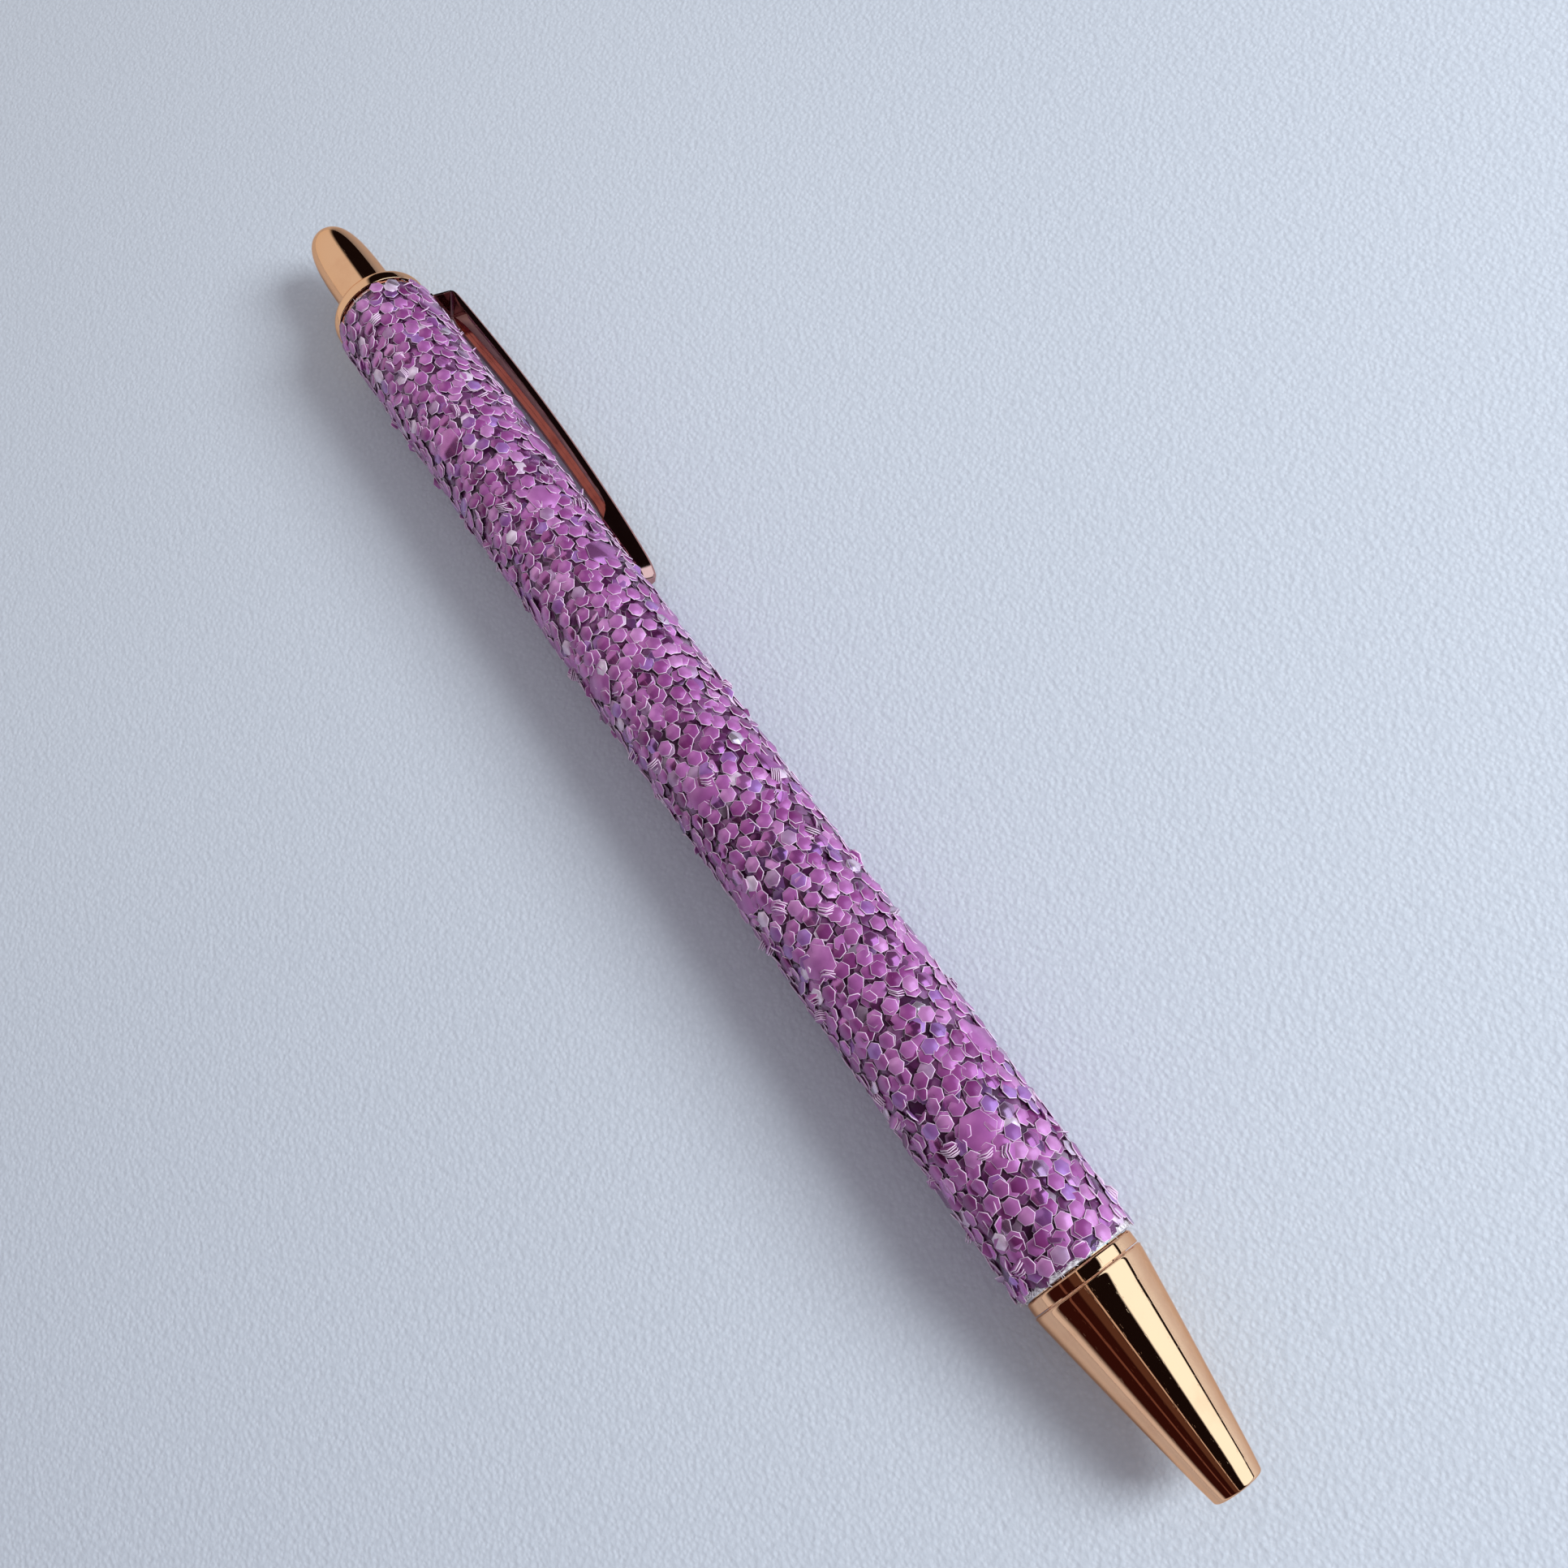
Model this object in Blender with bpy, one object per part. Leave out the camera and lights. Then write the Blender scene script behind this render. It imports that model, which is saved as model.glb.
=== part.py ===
"""A retractable gel pen lying on a table: plated metal fittings on a barrel wrapped in glitter cloth.

Metres, +Z up. The pen's axis runs along X with the nose at +X. A station is a distance from the
nose's end along the axis, and a radius is a distance from the axis. The pen lies on its glitter
and on the edge of its clip, so the table is z = 0.
"""

import math

import bmesh
import bpy
from mathutils import Matrix, Vector

MM = 0.001
ROUND = 48          # sides of the large turned pieces
SMALL_ROUND = 32    # sides of the pieces inside the refill and the click mechanism
FINE_ROUND = 16     # sides of the writing ball and its socket
COAT_FLATS = 28     # flats round the glitter coat, each about as wide as one flake
WELD = 1e-7

# Stations of the outside, nose to button.
LENGTH = 140.4 * MM
SEAM = 16.3 * MM            # the nose cone meets its ferrule
WRAP_START = 17.5 * MM
WRAP_END = 126.45 * MM
COLLAR_TOP = 129.2 * MM

# Radii of the outside.
NOSE_TIP_RADIUS = 2.03 * MM
NOSE_BASE_RADIUS = 4.66 * MM
SEAM_LIP_RADIUS = 4.72 * MM
BAND_RADIUS = 4.62 * MM
WRAP_RADIUS = 5.2 * MM
COLLAR_RADIUS = 4.95 * MM
BUTTON_RADIUS = 2.95 * MM

# The layers of the barrel, from the inside out.
TUBE_BORE = 4.1 * MM
TUBE_RADIUS = 4.5 * MM
TUBE_END = 126.5 * MM
CLOTH_BORE, CLOTH_RADIUS = 4.55 * MM, 4.72 * MM
GLITTER_BORE = 4.77 * MM

# The screw joint between the nose cone and the ferrule.
NECK_RADIUS, NECK_BORE, NECK_END = 3.55 * MM, 3.15 * MM, 23.6 * MM
FERRULE_BORE, SPIGOT_RADIUS, SPIGOT_END = 3.63 * MM, 4.05 * MM, 26.0 * MM
SPRING_ROOM, SPRING_ROOM_END = 2.4 * MM, 15.6 * MM

# The refill, at rest inside the nose.
TRAVEL = 5.4 * MM           # of the button and of the refill
NOSE_HOLE = 1.3 * MM
SPRING_SEAT = 7.0 * MM
BALL_RADIUS, BALL_STATION = 0.35 * MM, 1.75 * MM
TIP_RADIUS = 1.15 * MM
HOLDER_RADIUS, HOLDER_START = 1.62 * MM, 12.7 * MM
HOLDER_FLANGE = 21.9 * MM
REFILL_START, REFILL_END = 23.6 * MM, 104.0 * MM
REFILL_RADIUS, REFILL_BORE = 2.9 * MM, 2.35 * MM
SOCKET_START, SPIGOT_TIP = 12.6 * MM, 16.5 * MM
HOLDER_BORE_END, HOLDER_END = 17.0 * MM, 29.0 * MM
INK_END, FOLLOWER_END = 86.0 * MM, 91.0 * MM
PLUG_START, PLUG_END = 98.5 * MM, 107.3 * MM

# The return spring.
WIRE_RADIUS = 0.18 * MM
COIL_RADIUS = 1.98 * MM
COIL_TURNS = 9
COIL_STEPS = 12             # points to a turn

# The click mechanism.
CAM_RADIUS = 2.3 * MM
CAM_TEETH = 8
TOOTH_HEIGHT = 0.8 * MM
FIN_REACH, FIN_WIDTH = 2.68 * MM, 0.6 * MM
RIB_REACH, RIB_WIDTH = 2.42 * MM, 0.8 * MM
SLEEVE_START, SLEEVE_STEP, SLEEVE_END = 107.5 * MM, 117.9 * MM, 121.4 * MM
SLEEVE_BORE, SLEEVE_WIDE_BORE = 2.8 * MM, 3.45 * MM
STEM_RADIUS = 1.3 * MM
ROTOR_CROWN, PLUNGER_CROWN = 113.4 * MM, 113.5 * MM
STEM_END = 119.0 * MM
PLUNGER_FLOOR, PLUNGER_END = 126.0 * MM, 133.0 * MM

# The button and the collar that it slides in.
BUTTON_BASE = SLEEVE_STEP + TRAVEL + 0.5 * MM
BUTTON_FLANGE, FLANGE_DEPTH = 3.3 * MM, 1.0 * MM
BUTTON_DOME, BUTTON_CAVITY, BUTTON_WALL = 129.0 * MM, 133.5 * MM, 0.6 * MM
COLLAR_SKIRT, COLLAR_NECK = 121.5 * MM, 125.2 * MM
COLLAR_BORE, SKIRT_BORE = 3.05 * MM, 3.5 * MM

# The clip, measured in the plane through the pen's axis.
SHEET = 0.4 * MM            # thickness of the sheet
CLIP_SEAT = 126.54 * MM     # the washer's face towards the nose
CLIP_ROOT = 5.12 * MM       # radius where the arm leaves the washer
ARM_CREST, ARM_CREST_RADIUS = 111.0 * MM, 8.05 * MM
ARM_BOW = 231.0 * MM        # radius of the arm's curve along the pen
ARM_START, FOOT_START, CLIP_TIP = 126.1 * MM, 94.2 * MM, 86.2 * MM
ROOT_HALF_WIDTH, FOOT_HALF_WIDTH = 1.75 * MM, 1.15 * MM
LIP_DEPTH = 0.85 * MM       # of the turned-in edges, the sheet included
FOOT_RADIUS = 5.36 * MM     # the foot's edges, just clear of the glitter
EDGE_ROUND = 0.25 * MM
BEND_RADIUS = 0.75 * MM


def clear_scene():
    for old in list(bpy.data.objects):
        bpy.data.objects.remove(old, do_unlink=True)


def finish(name, colour, roughness, metallic=0.0):
    """One Principled material."""
    material = bpy.data.materials.new(name)
    material.use_nodes = True
    shader = material.node_tree.nodes["Principled BSDF"]
    shader.inputs["Base Color"].default_value = (*colour, 1.0)
    shader.inputs["Roughness"].default_value = roughness
    shader.inputs["Metallic"].default_value = metallic
    return material


def empty(name, location, parent=None):
    """An axis or a pivot that pieces hang from."""
    axis = bpy.data.objects.new(name, None)
    axis.empty_display_size = 5 * MM
    axis.location = location
    axis.parent = parent
    bpy.context.scene.collection.objects.link(axis)
    return axis


def mesh_object(name, bm, parent, material):
    """Closes a bmesh into a smooth-shaded object with sharp edges kept."""
    bmesh.ops.recalc_face_normals(bm, faces=bm.faces)
    mesh = bpy.data.meshes.new(name)
    bm.to_mesh(mesh)
    bm.free()
    mesh.shade_smooth()
    mesh.set_sharp_from_angle(angle=math.radians(32))
    if material:
        mesh.materials.append(material)
    piece = bpy.data.objects.new(name, mesh)
    piece.parent = parent
    bpy.context.scene.collection.objects.link(piece)
    return piece


def spun(profile, sides):
    """The solid that a closed outline of (station, radius) points sweeps round the axis."""
    bm = bmesh.new()
    points = [bm.verts.new((-station, 0.0, radius)) for station, radius in profile]
    edges = [bm.edges.new(pair) for pair in zip(points, points[1:] + points[:1])]
    on_axis = [e for e in edges if all(abs(v.co.z) < WELD for v in e.verts)]
    for edge in on_axis:
        edges.remove(edge)
        bm.edges.remove(edge)
    bmesh.ops.spin(bm, geom=points + edges, cent=(0, 0, 0), axis=(1, 0, 0),
                   angle=2 * math.pi, steps=sides, use_merge=True)
    bmesh.ops.remove_doubles(bm, verts=bm.verts, dist=WELD)
    bmesh.ops.dissolve_degenerate(bm, dist=WELD, edges=bm.edges)
    return bm


def turned(name, profile, parent, material, sides=ROUND):
    return mesh_object(name, spun(profile, sides), parent, material)


def arc(centre, radius, first, last, steps):
    """Points (station, radius) on a round stretch of an outline, with the angles in degrees."""
    points = []
    for step in range(steps + 1):
        angle = math.radians(first + (last - first) * step / steps)
        points.append((centre[0] + radius * math.cos(angle), centre[1] + radius * math.sin(angle)))
    return points


def bullet(start, end, radius, power, steps):
    """A superellipse from full radius at one station to the axis at another."""
    points = []
    for step in range(steps + 1):
        angle = 0.5 * math.pi * step / steps
        along = math.sin(angle) ** (2 / power)
        across = max(math.cos(angle), 0.0) ** (2 / power) if step < steps else 0.0
        points.append((start + (end - start) * along, radius * across))
    return points


def bars(name, parent, count, first_turn, inner, outer, width, start, end):
    """A hidden ring of bars along the axis, to be joined to a piece."""
    bm = bmesh.new()
    for index in range(count):
        turn = Matrix.Rotation(first_turn + 2 * math.pi * index / count, 4, "X")
        centre = Matrix.Translation((-0.5 * (start + end), 0.0, 0.5 * (inner + outer)))
        size = Matrix.Diagonal((end - start, width, outer - inner, 1.0))
        bmesh.ops.create_cube(bm, size=1.0, matrix=turn @ centre @ size)
    ring = mesh_object(name, bm, parent, None)
    ring.hide_render = True
    ring.display_type = "WIRE"
    return ring


def join(piece, other):
    union = piece.modifiers.new("join_" + other.name, "BOOLEAN")
    union.operation = "UNION"
    union.solver = "EXACT"
    union.object = other


def add_crown(piece, station, reach):
    """Turns the ring at a station into teeth, up to a radius."""
    for vertex in piece.data.vertices:
        radius = math.hypot(vertex.co.y, vertex.co.z)
        if abs(vertex.co.x + station) > WELD or radius > reach:
            continue
        turn = math.atan2(vertex.co.y, vertex.co.z) / (2 * math.pi) * CAM_TEETH
        wave = abs((turn % 1.0) * 2.0 - 1.0)
        vertex.co.x += TOOTH_HEIGHT * (0.5 - wave)


# The outside and the barrel.

def barrel_tube(parent, material):
    outline = [(WRAP_START - 0.04 * MM, TUBE_BORE), (WRAP_START - 0.04 * MM, TUBE_RADIUS),
               (TUBE_END, TUBE_RADIUS), (TUBE_END, TUBE_BORE)]
    turned("barrel_tube", outline, parent, material)


def wrap_layer(name, bore, radius, parent, material, sides=ROUND):
    outline = [(WRAP_START, bore), (WRAP_START, radius), (WRAP_END, radius), (WRAP_END, bore)]
    return turned(name, outline, parent, material, sides)


def glitter_coat(parent, material):
    """The flakes' layer. It lies on one of its flats, as the real pen lies on flat flakes."""
    corner = 1 / math.cos(math.pi / COAT_FLATS)
    coat = wrap_layer("glitter_coat", GLITTER_BORE * corner, WRAP_RADIUS * corner, parent, material,
                      COAT_FLATS)
    coat.data.transform(Matrix.Rotation(math.pi / COAT_FLATS, 4, "X"))


def lower_ferrule(parent, material):
    """The plated band below the glitter, with the spigot that is pressed into the barrel."""
    face = SEAM + 0.06 * MM
    shoulder = WRAP_START - 0.1 * MM
    edge = 0.2 * MM
    outline = [(face, FERRULE_BORE), (face, BAND_RADIUS)]
    outline += arc((shoulder - edge, BAND_RADIUS - edge), edge, 90, 0, 3)
    outline += [(shoulder, SPIGOT_RADIUS), (SPIGOT_END, SPIGOT_RADIUS), (SPIGOT_END, FERRULE_BORE)]
    turned("lower_ferrule", outline, parent, material)


def nose_cone(parent, material):
    """The cone, its fine lip at the seam, and the neck that screws into the ferrule."""
    edge = 0.22 * MM
    lip = 0.3 * MM
    outline = [(0.0, NOSE_HOLE), (0.0, NOSE_TIP_RADIUS - edge)]
    outline += arc((edge, NOSE_TIP_RADIUS - edge), edge, 180, 100, 3)[1:]
    swell = 0.04 * MM
    rings = 5
    for ring in range(1, rings):
        part = ring / rings
        straight = NOSE_TIP_RADIUS + (NOSE_BASE_RADIUS - NOSE_TIP_RADIUS) * part
        outline.append(((SEAM - lip) * part, straight + swell * math.sin(math.pi * part)))
    outline += [(SEAM - lip, NOSE_BASE_RADIUS), (SEAM - 0.8 * lip, SEAM_LIP_RADIUS),
                (SEAM, SEAM_LIP_RADIUS), (SEAM, NECK_RADIUS),
                (NECK_END - lip, NECK_RADIUS), (NECK_END, NECK_RADIUS - 0.2 * MM),
                (NECK_END, NECK_BORE), (SPRING_ROOM_END, NECK_BORE), (SPRING_ROOM_END, SPRING_ROOM),
                (SPRING_SEAT, SPRING_ROOM), (SPRING_SEAT, NOSE_HOLE)]
    turned("nose_cone", outline, parent, material)


def end_collar(parent, material):
    """The domed cap that the button slides through. Its skirt is pressed into the barrel."""
    seat = CLIP_SEAT + SHEET + 0.04 * MM
    crown = 0.95 * MM
    rim = 0.7 * MM
    outline = [(COLLAR_SKIRT, SKIRT_BORE), (COLLAR_SKIRT, SPIGOT_RADIUS), (seat, SPIGOT_RADIUS),
               (seat, COLLAR_RADIUS - 0.08 * MM), (seat + 0.08 * MM, COLLAR_RADIUS)]
    outline += arc((seat + rim, COLLAR_RADIUS - crown), crown, 90, 15, 5)
    outline += [(COLLAR_TOP - 0.12 * MM, COLLAR_BORE + 0.25 * MM), (COLLAR_TOP, COLLAR_BORE + 0.1 * MM),
                (COLLAR_TOP, COLLAR_BORE), (COLLAR_NECK, COLLAR_BORE), (COLLAR_NECK, SKIRT_BORE)]
    turned("end_collar", outline, parent, material)


def push_button(parent, material):
    """A drawn shell with a bullet end, open below, and the flange that keeps it in the collar."""
    flange_top = BUTTON_BASE + FLANGE_DEPTH
    bore = BUTTON_RADIUS - BUTTON_WALL
    outline = [(BUTTON_BASE, bore), (BUTTON_BASE, BUTTON_FLANGE), (flange_top, BUTTON_FLANGE),
               (flange_top + 0.1 * MM, BUTTON_RADIUS)]
    outline += bullet(BUTTON_DOME, LENGTH, BUTTON_RADIUS, 3.6, 10)
    outline += bullet(BUTTON_CAVITY, LENGTH - BUTTON_WALL, bore, 3.0, 5)[::-1]
    turned("push_button", outline, parent, material)


# The refill and its spring.

def tip_ball(parent, material):
    outline = arc((BALL_STATION, 0.0), BALL_RADIUS, 180, 0, FINE_ROUND // 2)
    outline[0] = (outline[0][0], 0.0)
    outline[-1] = (outline[-1][0], 0.0)
    turned("tip_ball", outline, parent, material, FINE_ROUND)


def writing_tip(parent, material):
    """The metal point: a socket that holds the ball, a cone, a shaft and a spigot."""
    mouth = BALL_STATION - 0.17 * MM
    outline = [(mouth, 0.335 * MM), (mouth, 0.44 * MM), (4.3 * MM, 1.08 * MM), (4.5 * MM, TIP_RADIUS),
               (SOCKET_START, TIP_RADIUS), (SOCKET_START, 0.95 * MM), (SPIGOT_TIP, 0.95 * MM),
               (SPIGOT_TIP, 0.5 * MM), (3.4 * MM, 0.5 * MM), (3.0 * MM, 0.2 * MM),
               (BALL_STATION + 0.45 * MM, 0.2 * MM), (BALL_STATION + 0.3 * MM, 0.39 * MM),
               (BALL_STATION - 0.02 * MM, 0.39 * MM)]
    turned("writing_tip", outline, parent, material, FINE_ROUND)


def tip_holder(parent, material):
    """The plastic adaptor: the spring pushes on its flange, and its spigot plugs the ink tube."""
    bore, feed, spigot = 1.0 * MM, 0.8 * MM, REFILL_BORE - 0.07 * MM
    step = REFILL_START - 0.1 * MM
    outline = [(HOLDER_START, bore), (HOLDER_START, HOLDER_RADIUS - 0.3 * MM),
               (HOLDER_START + 0.3 * MM, HOLDER_RADIUS), (HOLDER_FLANGE, HOLDER_RADIUS),
               (HOLDER_FLANGE, REFILL_RADIUS - 0.05 * MM), (step, REFILL_RADIUS - 0.05 * MM),
               (step, spigot), (HOLDER_END, spigot), (HOLDER_END, feed), (HOLDER_BORE_END, feed),
               (HOLDER_BORE_END, bore)]
    turned("tip_holder", outline, parent, material, SMALL_ROUND)


def refill_tube(parent, material):
    outline = [(REFILL_START, REFILL_BORE), (REFILL_START, REFILL_RADIUS),
               (REFILL_END, REFILL_RADIUS), (REFILL_END, REFILL_BORE)]
    turned("refill_tube", outline, parent, material, SMALL_ROUND)


def column(name, start, end, parent, material):
    """A slug that fills the ink tube between two stations."""
    radius = REFILL_BORE - 0.07 * MM
    outline = [(start, 0.0), (start, radius), (end, radius), (end, 0.0)]
    turned(name, outline, parent, material, SMALL_ROUND)


def refill_tail_plug(parent, material):
    """The vented plug that the rotor pushes on."""
    vent, spigot, cap = 0.4 * MM, REFILL_BORE - 0.07 * MM, 2.6 * MM
    step = REFILL_END + 0.1 * MM
    outline = [(PLUG_START, vent), (PLUG_START, spigot), (step, spigot), (step, cap),
               (PLUG_END - 0.3 * MM, cap), (PLUG_END, cap - 0.3 * MM), (PLUG_END, vent)]
    turned("refill_tail_plug", outline, parent, material, SMALL_ROUND)


def return_spring(parent, material):
    """A round wire on a helix between the nose's seat and the holder's flange."""
    first = SPRING_SEAT + 0.1 * MM + WIRE_RADIUS
    last = HOLDER_FLANGE - 0.1 * MM - WIRE_RADIUS
    points = COIL_TURNS * COIL_STEPS
    closed = 1.0 / COIL_TURNS       # share of the coil in each closed end turn
    lead = 2.6 * WIRE_RADIUS / (last - first)
    curve = bpy.data.curves.new("return_spring", "CURVE")
    curve.dimensions = "3D"
    curve.bevel_depth = WIRE_RADIUS
    curve.bevel_resolution = 1
    curve.use_fill_caps = True
    spline = curve.splines.new("POLY")
    spline.points.add(points)
    for index, point in enumerate(spline.points):
        share = index / points
        turn = 2 * math.pi * COIL_TURNS * share
        if share < closed:
            rise = lead * share / closed
        elif share > 1 - closed:
            rise = 1 - lead * (1 - share) / closed
        else:
            rise = lead + (1 - 2 * lead) * (share - closed) / (1 - 2 * closed)
        station = first + (last - first) * rise
        point.co = (-station, COIL_RADIUS * math.sin(turn), COIL_RADIUS * math.cos(turn), 1.0)
    curve.materials.append(material)
    spring = bpy.data.objects.new("return_spring", curve)
    spring.parent = parent
    bpy.context.scene.collection.objects.link(spring)


# The click mechanism.

def cam_sleeve(parent, material):
    """The fixed guide: its ribs keep the rotor's fins in line until it is pushed past them."""
    outline = [(SLEEVE_START, SLEEVE_BORE), (SLEEVE_START, SPIGOT_RADIUS - 0.05 * MM),
               (SLEEVE_END, SPIGOT_RADIUS - 0.05 * MM), (SLEEVE_END, SLEEVE_WIDE_BORE),
               (SLEEVE_STEP, SLEEVE_WIDE_BORE), (SLEEVE_STEP, SLEEVE_BORE)]
    sleeve = turned("cam_sleeve", outline, parent, material, ROUND)
    ribs = bars("sleeve_ribs", parent, CAM_TEETH, math.pi / CAM_TEETH, RIB_REACH,
                SLEEVE_BORE + 0.4 * MM, RIB_WIDTH, SLEEVE_START + 0.2 * MM, SLEEVE_STEP - 0.2 * MM)
    join(sleeve, ribs)


def plunger_cam(parent, material):
    """The crowned tube inside the button that pushes the rotor round."""
    crown, bore = PLUNGER_CROWN, STEM_RADIUS + 0.15 * MM
    outline = [(crown, bore), (crown, CAM_RADIUS), (PLUNGER_END, CAM_RADIUS), (PLUNGER_END, 0.0),
               (PLUNGER_FLOOR, 0.0), (PLUNGER_FLOOR, bore)]
    plunger = turned("plunger_cam", outline, parent, material, SMALL_ROUND)
    add_crown(plunger, crown, CAM_RADIUS * 1.01)
    fins = bars("plunger_fins", parent, CAM_TEETH // 2, 0.0, CAM_RADIUS - 0.3 * MM, FIN_REACH,
                FIN_WIDTH, crown + 1.0 * MM, crown + 4.0 * MM)
    join(plunger, fins)


def cam_rotor(parent, material):
    """The finned rotor that turns an eighth of a turn at each click and holds the refill down."""
    base, crown = PLUG_END + 0.1 * MM, ROTOR_CROWN
    outline = [(base, 0.0), (base, CAM_RADIUS), (crown, CAM_RADIUS), (crown, STEM_RADIUS + 0.1 * MM),
               (crown - 0.6 * MM, STEM_RADIUS), (STEM_END, STEM_RADIUS), (STEM_END, 0.0)]
    rotor = turned("cam_rotor", outline, parent, material, SMALL_ROUND)
    add_crown(rotor, crown, CAM_RADIUS * 1.01)
    fins = bars("rotor_fins", parent, CAM_TEETH // 2, 0.0, CAM_RADIUS - 0.3 * MM, FIN_REACH,
                FIN_WIDTH, base + 0.3 * MM, base + 3.8 * MM)
    join(rotor, fins)


# The clip.

def arm_radius(station):
    """Radius of the arm's outer face: a shallow curve along the pen."""
    return ARM_CREST_RADIUS - (station - ARM_CREST) ** 2 / (2 * ARM_BOW)


def clip_sections():
    """The clip from root to tip: (station, radius, outward angle, half width, lip depth, floor)."""
    flat = SHEET + 0.06 * MM
    top = CLIP_SEAT + SHEET
    sections = [(top, CLIP_ROOT, 0.0, ROOT_HALF_WIDTH, flat, SHEET),
                (top, 6.2 * MM, 0.0, ROOT_HALF_WIDTH, flat, SHEET)]
    bend_centre = (top - BEND_RADIUS, arm_radius(ARM_START) - BEND_RADIUS)
    for angle in (6.0, 25.0, 45.0, 65.0, 84.0):
        turn = math.radians(angle)
        sections.append((bend_centre[0] + BEND_RADIUS * math.cos(turn),
                         bend_centre[1] + BEND_RADIUS * math.sin(turn),
                         turn, ROOT_HALF_WIDTH, flat, SHEET))
    crest_half = 2.0 * MM
    for station in (ARM_START - 2 * BEND_RADIUS, ARM_CREST + 5 * crest_half, ARM_CREST + 3 * crest_half,
                    ARM_CREST + crest_half, ARM_CREST - crest_half, ARM_CREST - 3 * crest_half,
                    ARM_CREST - 5 * crest_half, FOOT_START + 1.0 * MM):
        sections.append((station, arm_radius(station), arm_angle(station), arm_width(station),
                         LIP_DEPTH, SHEET))
    foot_rings = 4
    for ring in range(foot_rings):
        first, last = FOOT_START - 0.6 * MM, CLIP_TIP + 1.4 * MM
        station = first + (last - first) * ring / (foot_rings - 1)
        depth = arm_radius(station) - FOOT_RADIUS
        sections.append((station, arm_radius(station), arm_angle(station), arm_width(station),
                         depth, SHEET))
    closing = ((CLIP_TIP + 0.55 * MM, 0.86, 0.30), (CLIP_TIP + 0.15 * MM, 0.62, 0.96),
               (CLIP_TIP, 0.42, 0.96))
    for station, width, fill in closing:
        drop = 0.06 * MM if station > CLIP_TIP else 0.2 * MM
        outer = arm_radius(station) - drop
        depth = outer - FOOT_RADIUS - drop
        floor = SHEET + (depth - SHEET) * fill
        sections.append((station, outer, arm_angle(station), FOOT_HALF_WIDTH * width, depth, floor))
    return sections


def arm_angle(station):
    """Angle of the outer face's normal from the pen's axis, 90 degrees where it is radial."""
    return 0.5 * math.pi - (station - ARM_CREST) / ARM_BOW


def arm_width(station):
    share = (station - CLIP_TIP) / (ARM_START - CLIP_TIP)
    return FOOT_HALF_WIDTH + (ROOT_HALF_WIDTH - FOOT_HALF_WIDTH) * min(share, 1.0)


def section_ring(section):
    """Ten corners of a channel section: (station, across, radius)."""
    station, radius, angle, half, depth, floor = section
    inner = half - SHEET
    corners = [(-half + EDGE_ROUND, 0.0), (half - EDGE_ROUND, 0.0), (half, EDGE_ROUND),
               (half, depth), (max(inner, 0.05 * MM), depth), (max(inner, 0.05 * MM), floor),
               (-max(inner, 0.05 * MM), floor), (-max(inner, 0.05 * MM), depth), (-half, depth),
               (-half, EDGE_ROUND)]
    return [(station - down * math.cos(angle), across, radius - down * math.sin(angle))
            for across, down in corners]


def clip_rings():
    return [section_ring(section) for section in clip_sections()]


def clip_drop(rings):
    """How far the clip hangs below level when its edge and the glitter both touch the table."""
    turns = []
    for ring in rings:
        for _, across, radius in ring:
            reach = math.hypot(across, radius)
            if reach > WRAP_RADIUS:
                turns.append(math.asin(WRAP_RADIUS / reach) - math.atan2(abs(across), radius))
    return min(turns)


def clip(parent, material, rings):
    """The arm: a strip with turned-in edges that ends in a closed, boat-shaped foot."""
    origin = Vector((-(CLIP_SEAT + SHEET / 2), 0.0, CLIP_ROOT))
    bm = bmesh.new()
    loops = []
    for ring in rings:
        loops.append([bm.verts.new(Vector((-station, across, radius)) - origin)
                      for station, across, radius in ring])
    for first, second in zip(loops, loops[1:]):
        count = len(first)
        for index in range(count):
            after = (index + 1) % count
            bm.faces.new((first[index], first[after], second[after], second[index]))
    bm.faces.new(loops[0])
    bm.faces.new(loops[-1])
    bmesh.ops.triangulate(bm, faces=[f for f in bm.faces if len(f.verts) > 4])
    return mesh_object("clip", bm, parent, material)


def clip_ring(parent, material):
    """The clip's washer, clamped between the barrel and the collar, with the start of its tab."""
    bore, rim = SPIGOT_RADIUS + 0.07 * MM, 4.72 * MM
    back = CLIP_SEAT + SHEET
    outline = [(CLIP_SEAT, bore), (CLIP_SEAT, rim), (back, rim), (back, bore)]
    washer = turned("clip_ring", outline, parent, material)
    tab = bars("clip_tab", parent, 1, 0.0, 4.45 * MM, CLIP_ROOT - 0.08 * MM, 2 * ROOT_HALF_WIDTH,
               CLIP_SEAT + 0.001 * MM, back - 0.001 * MM)
    join(washer, tab)


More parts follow.
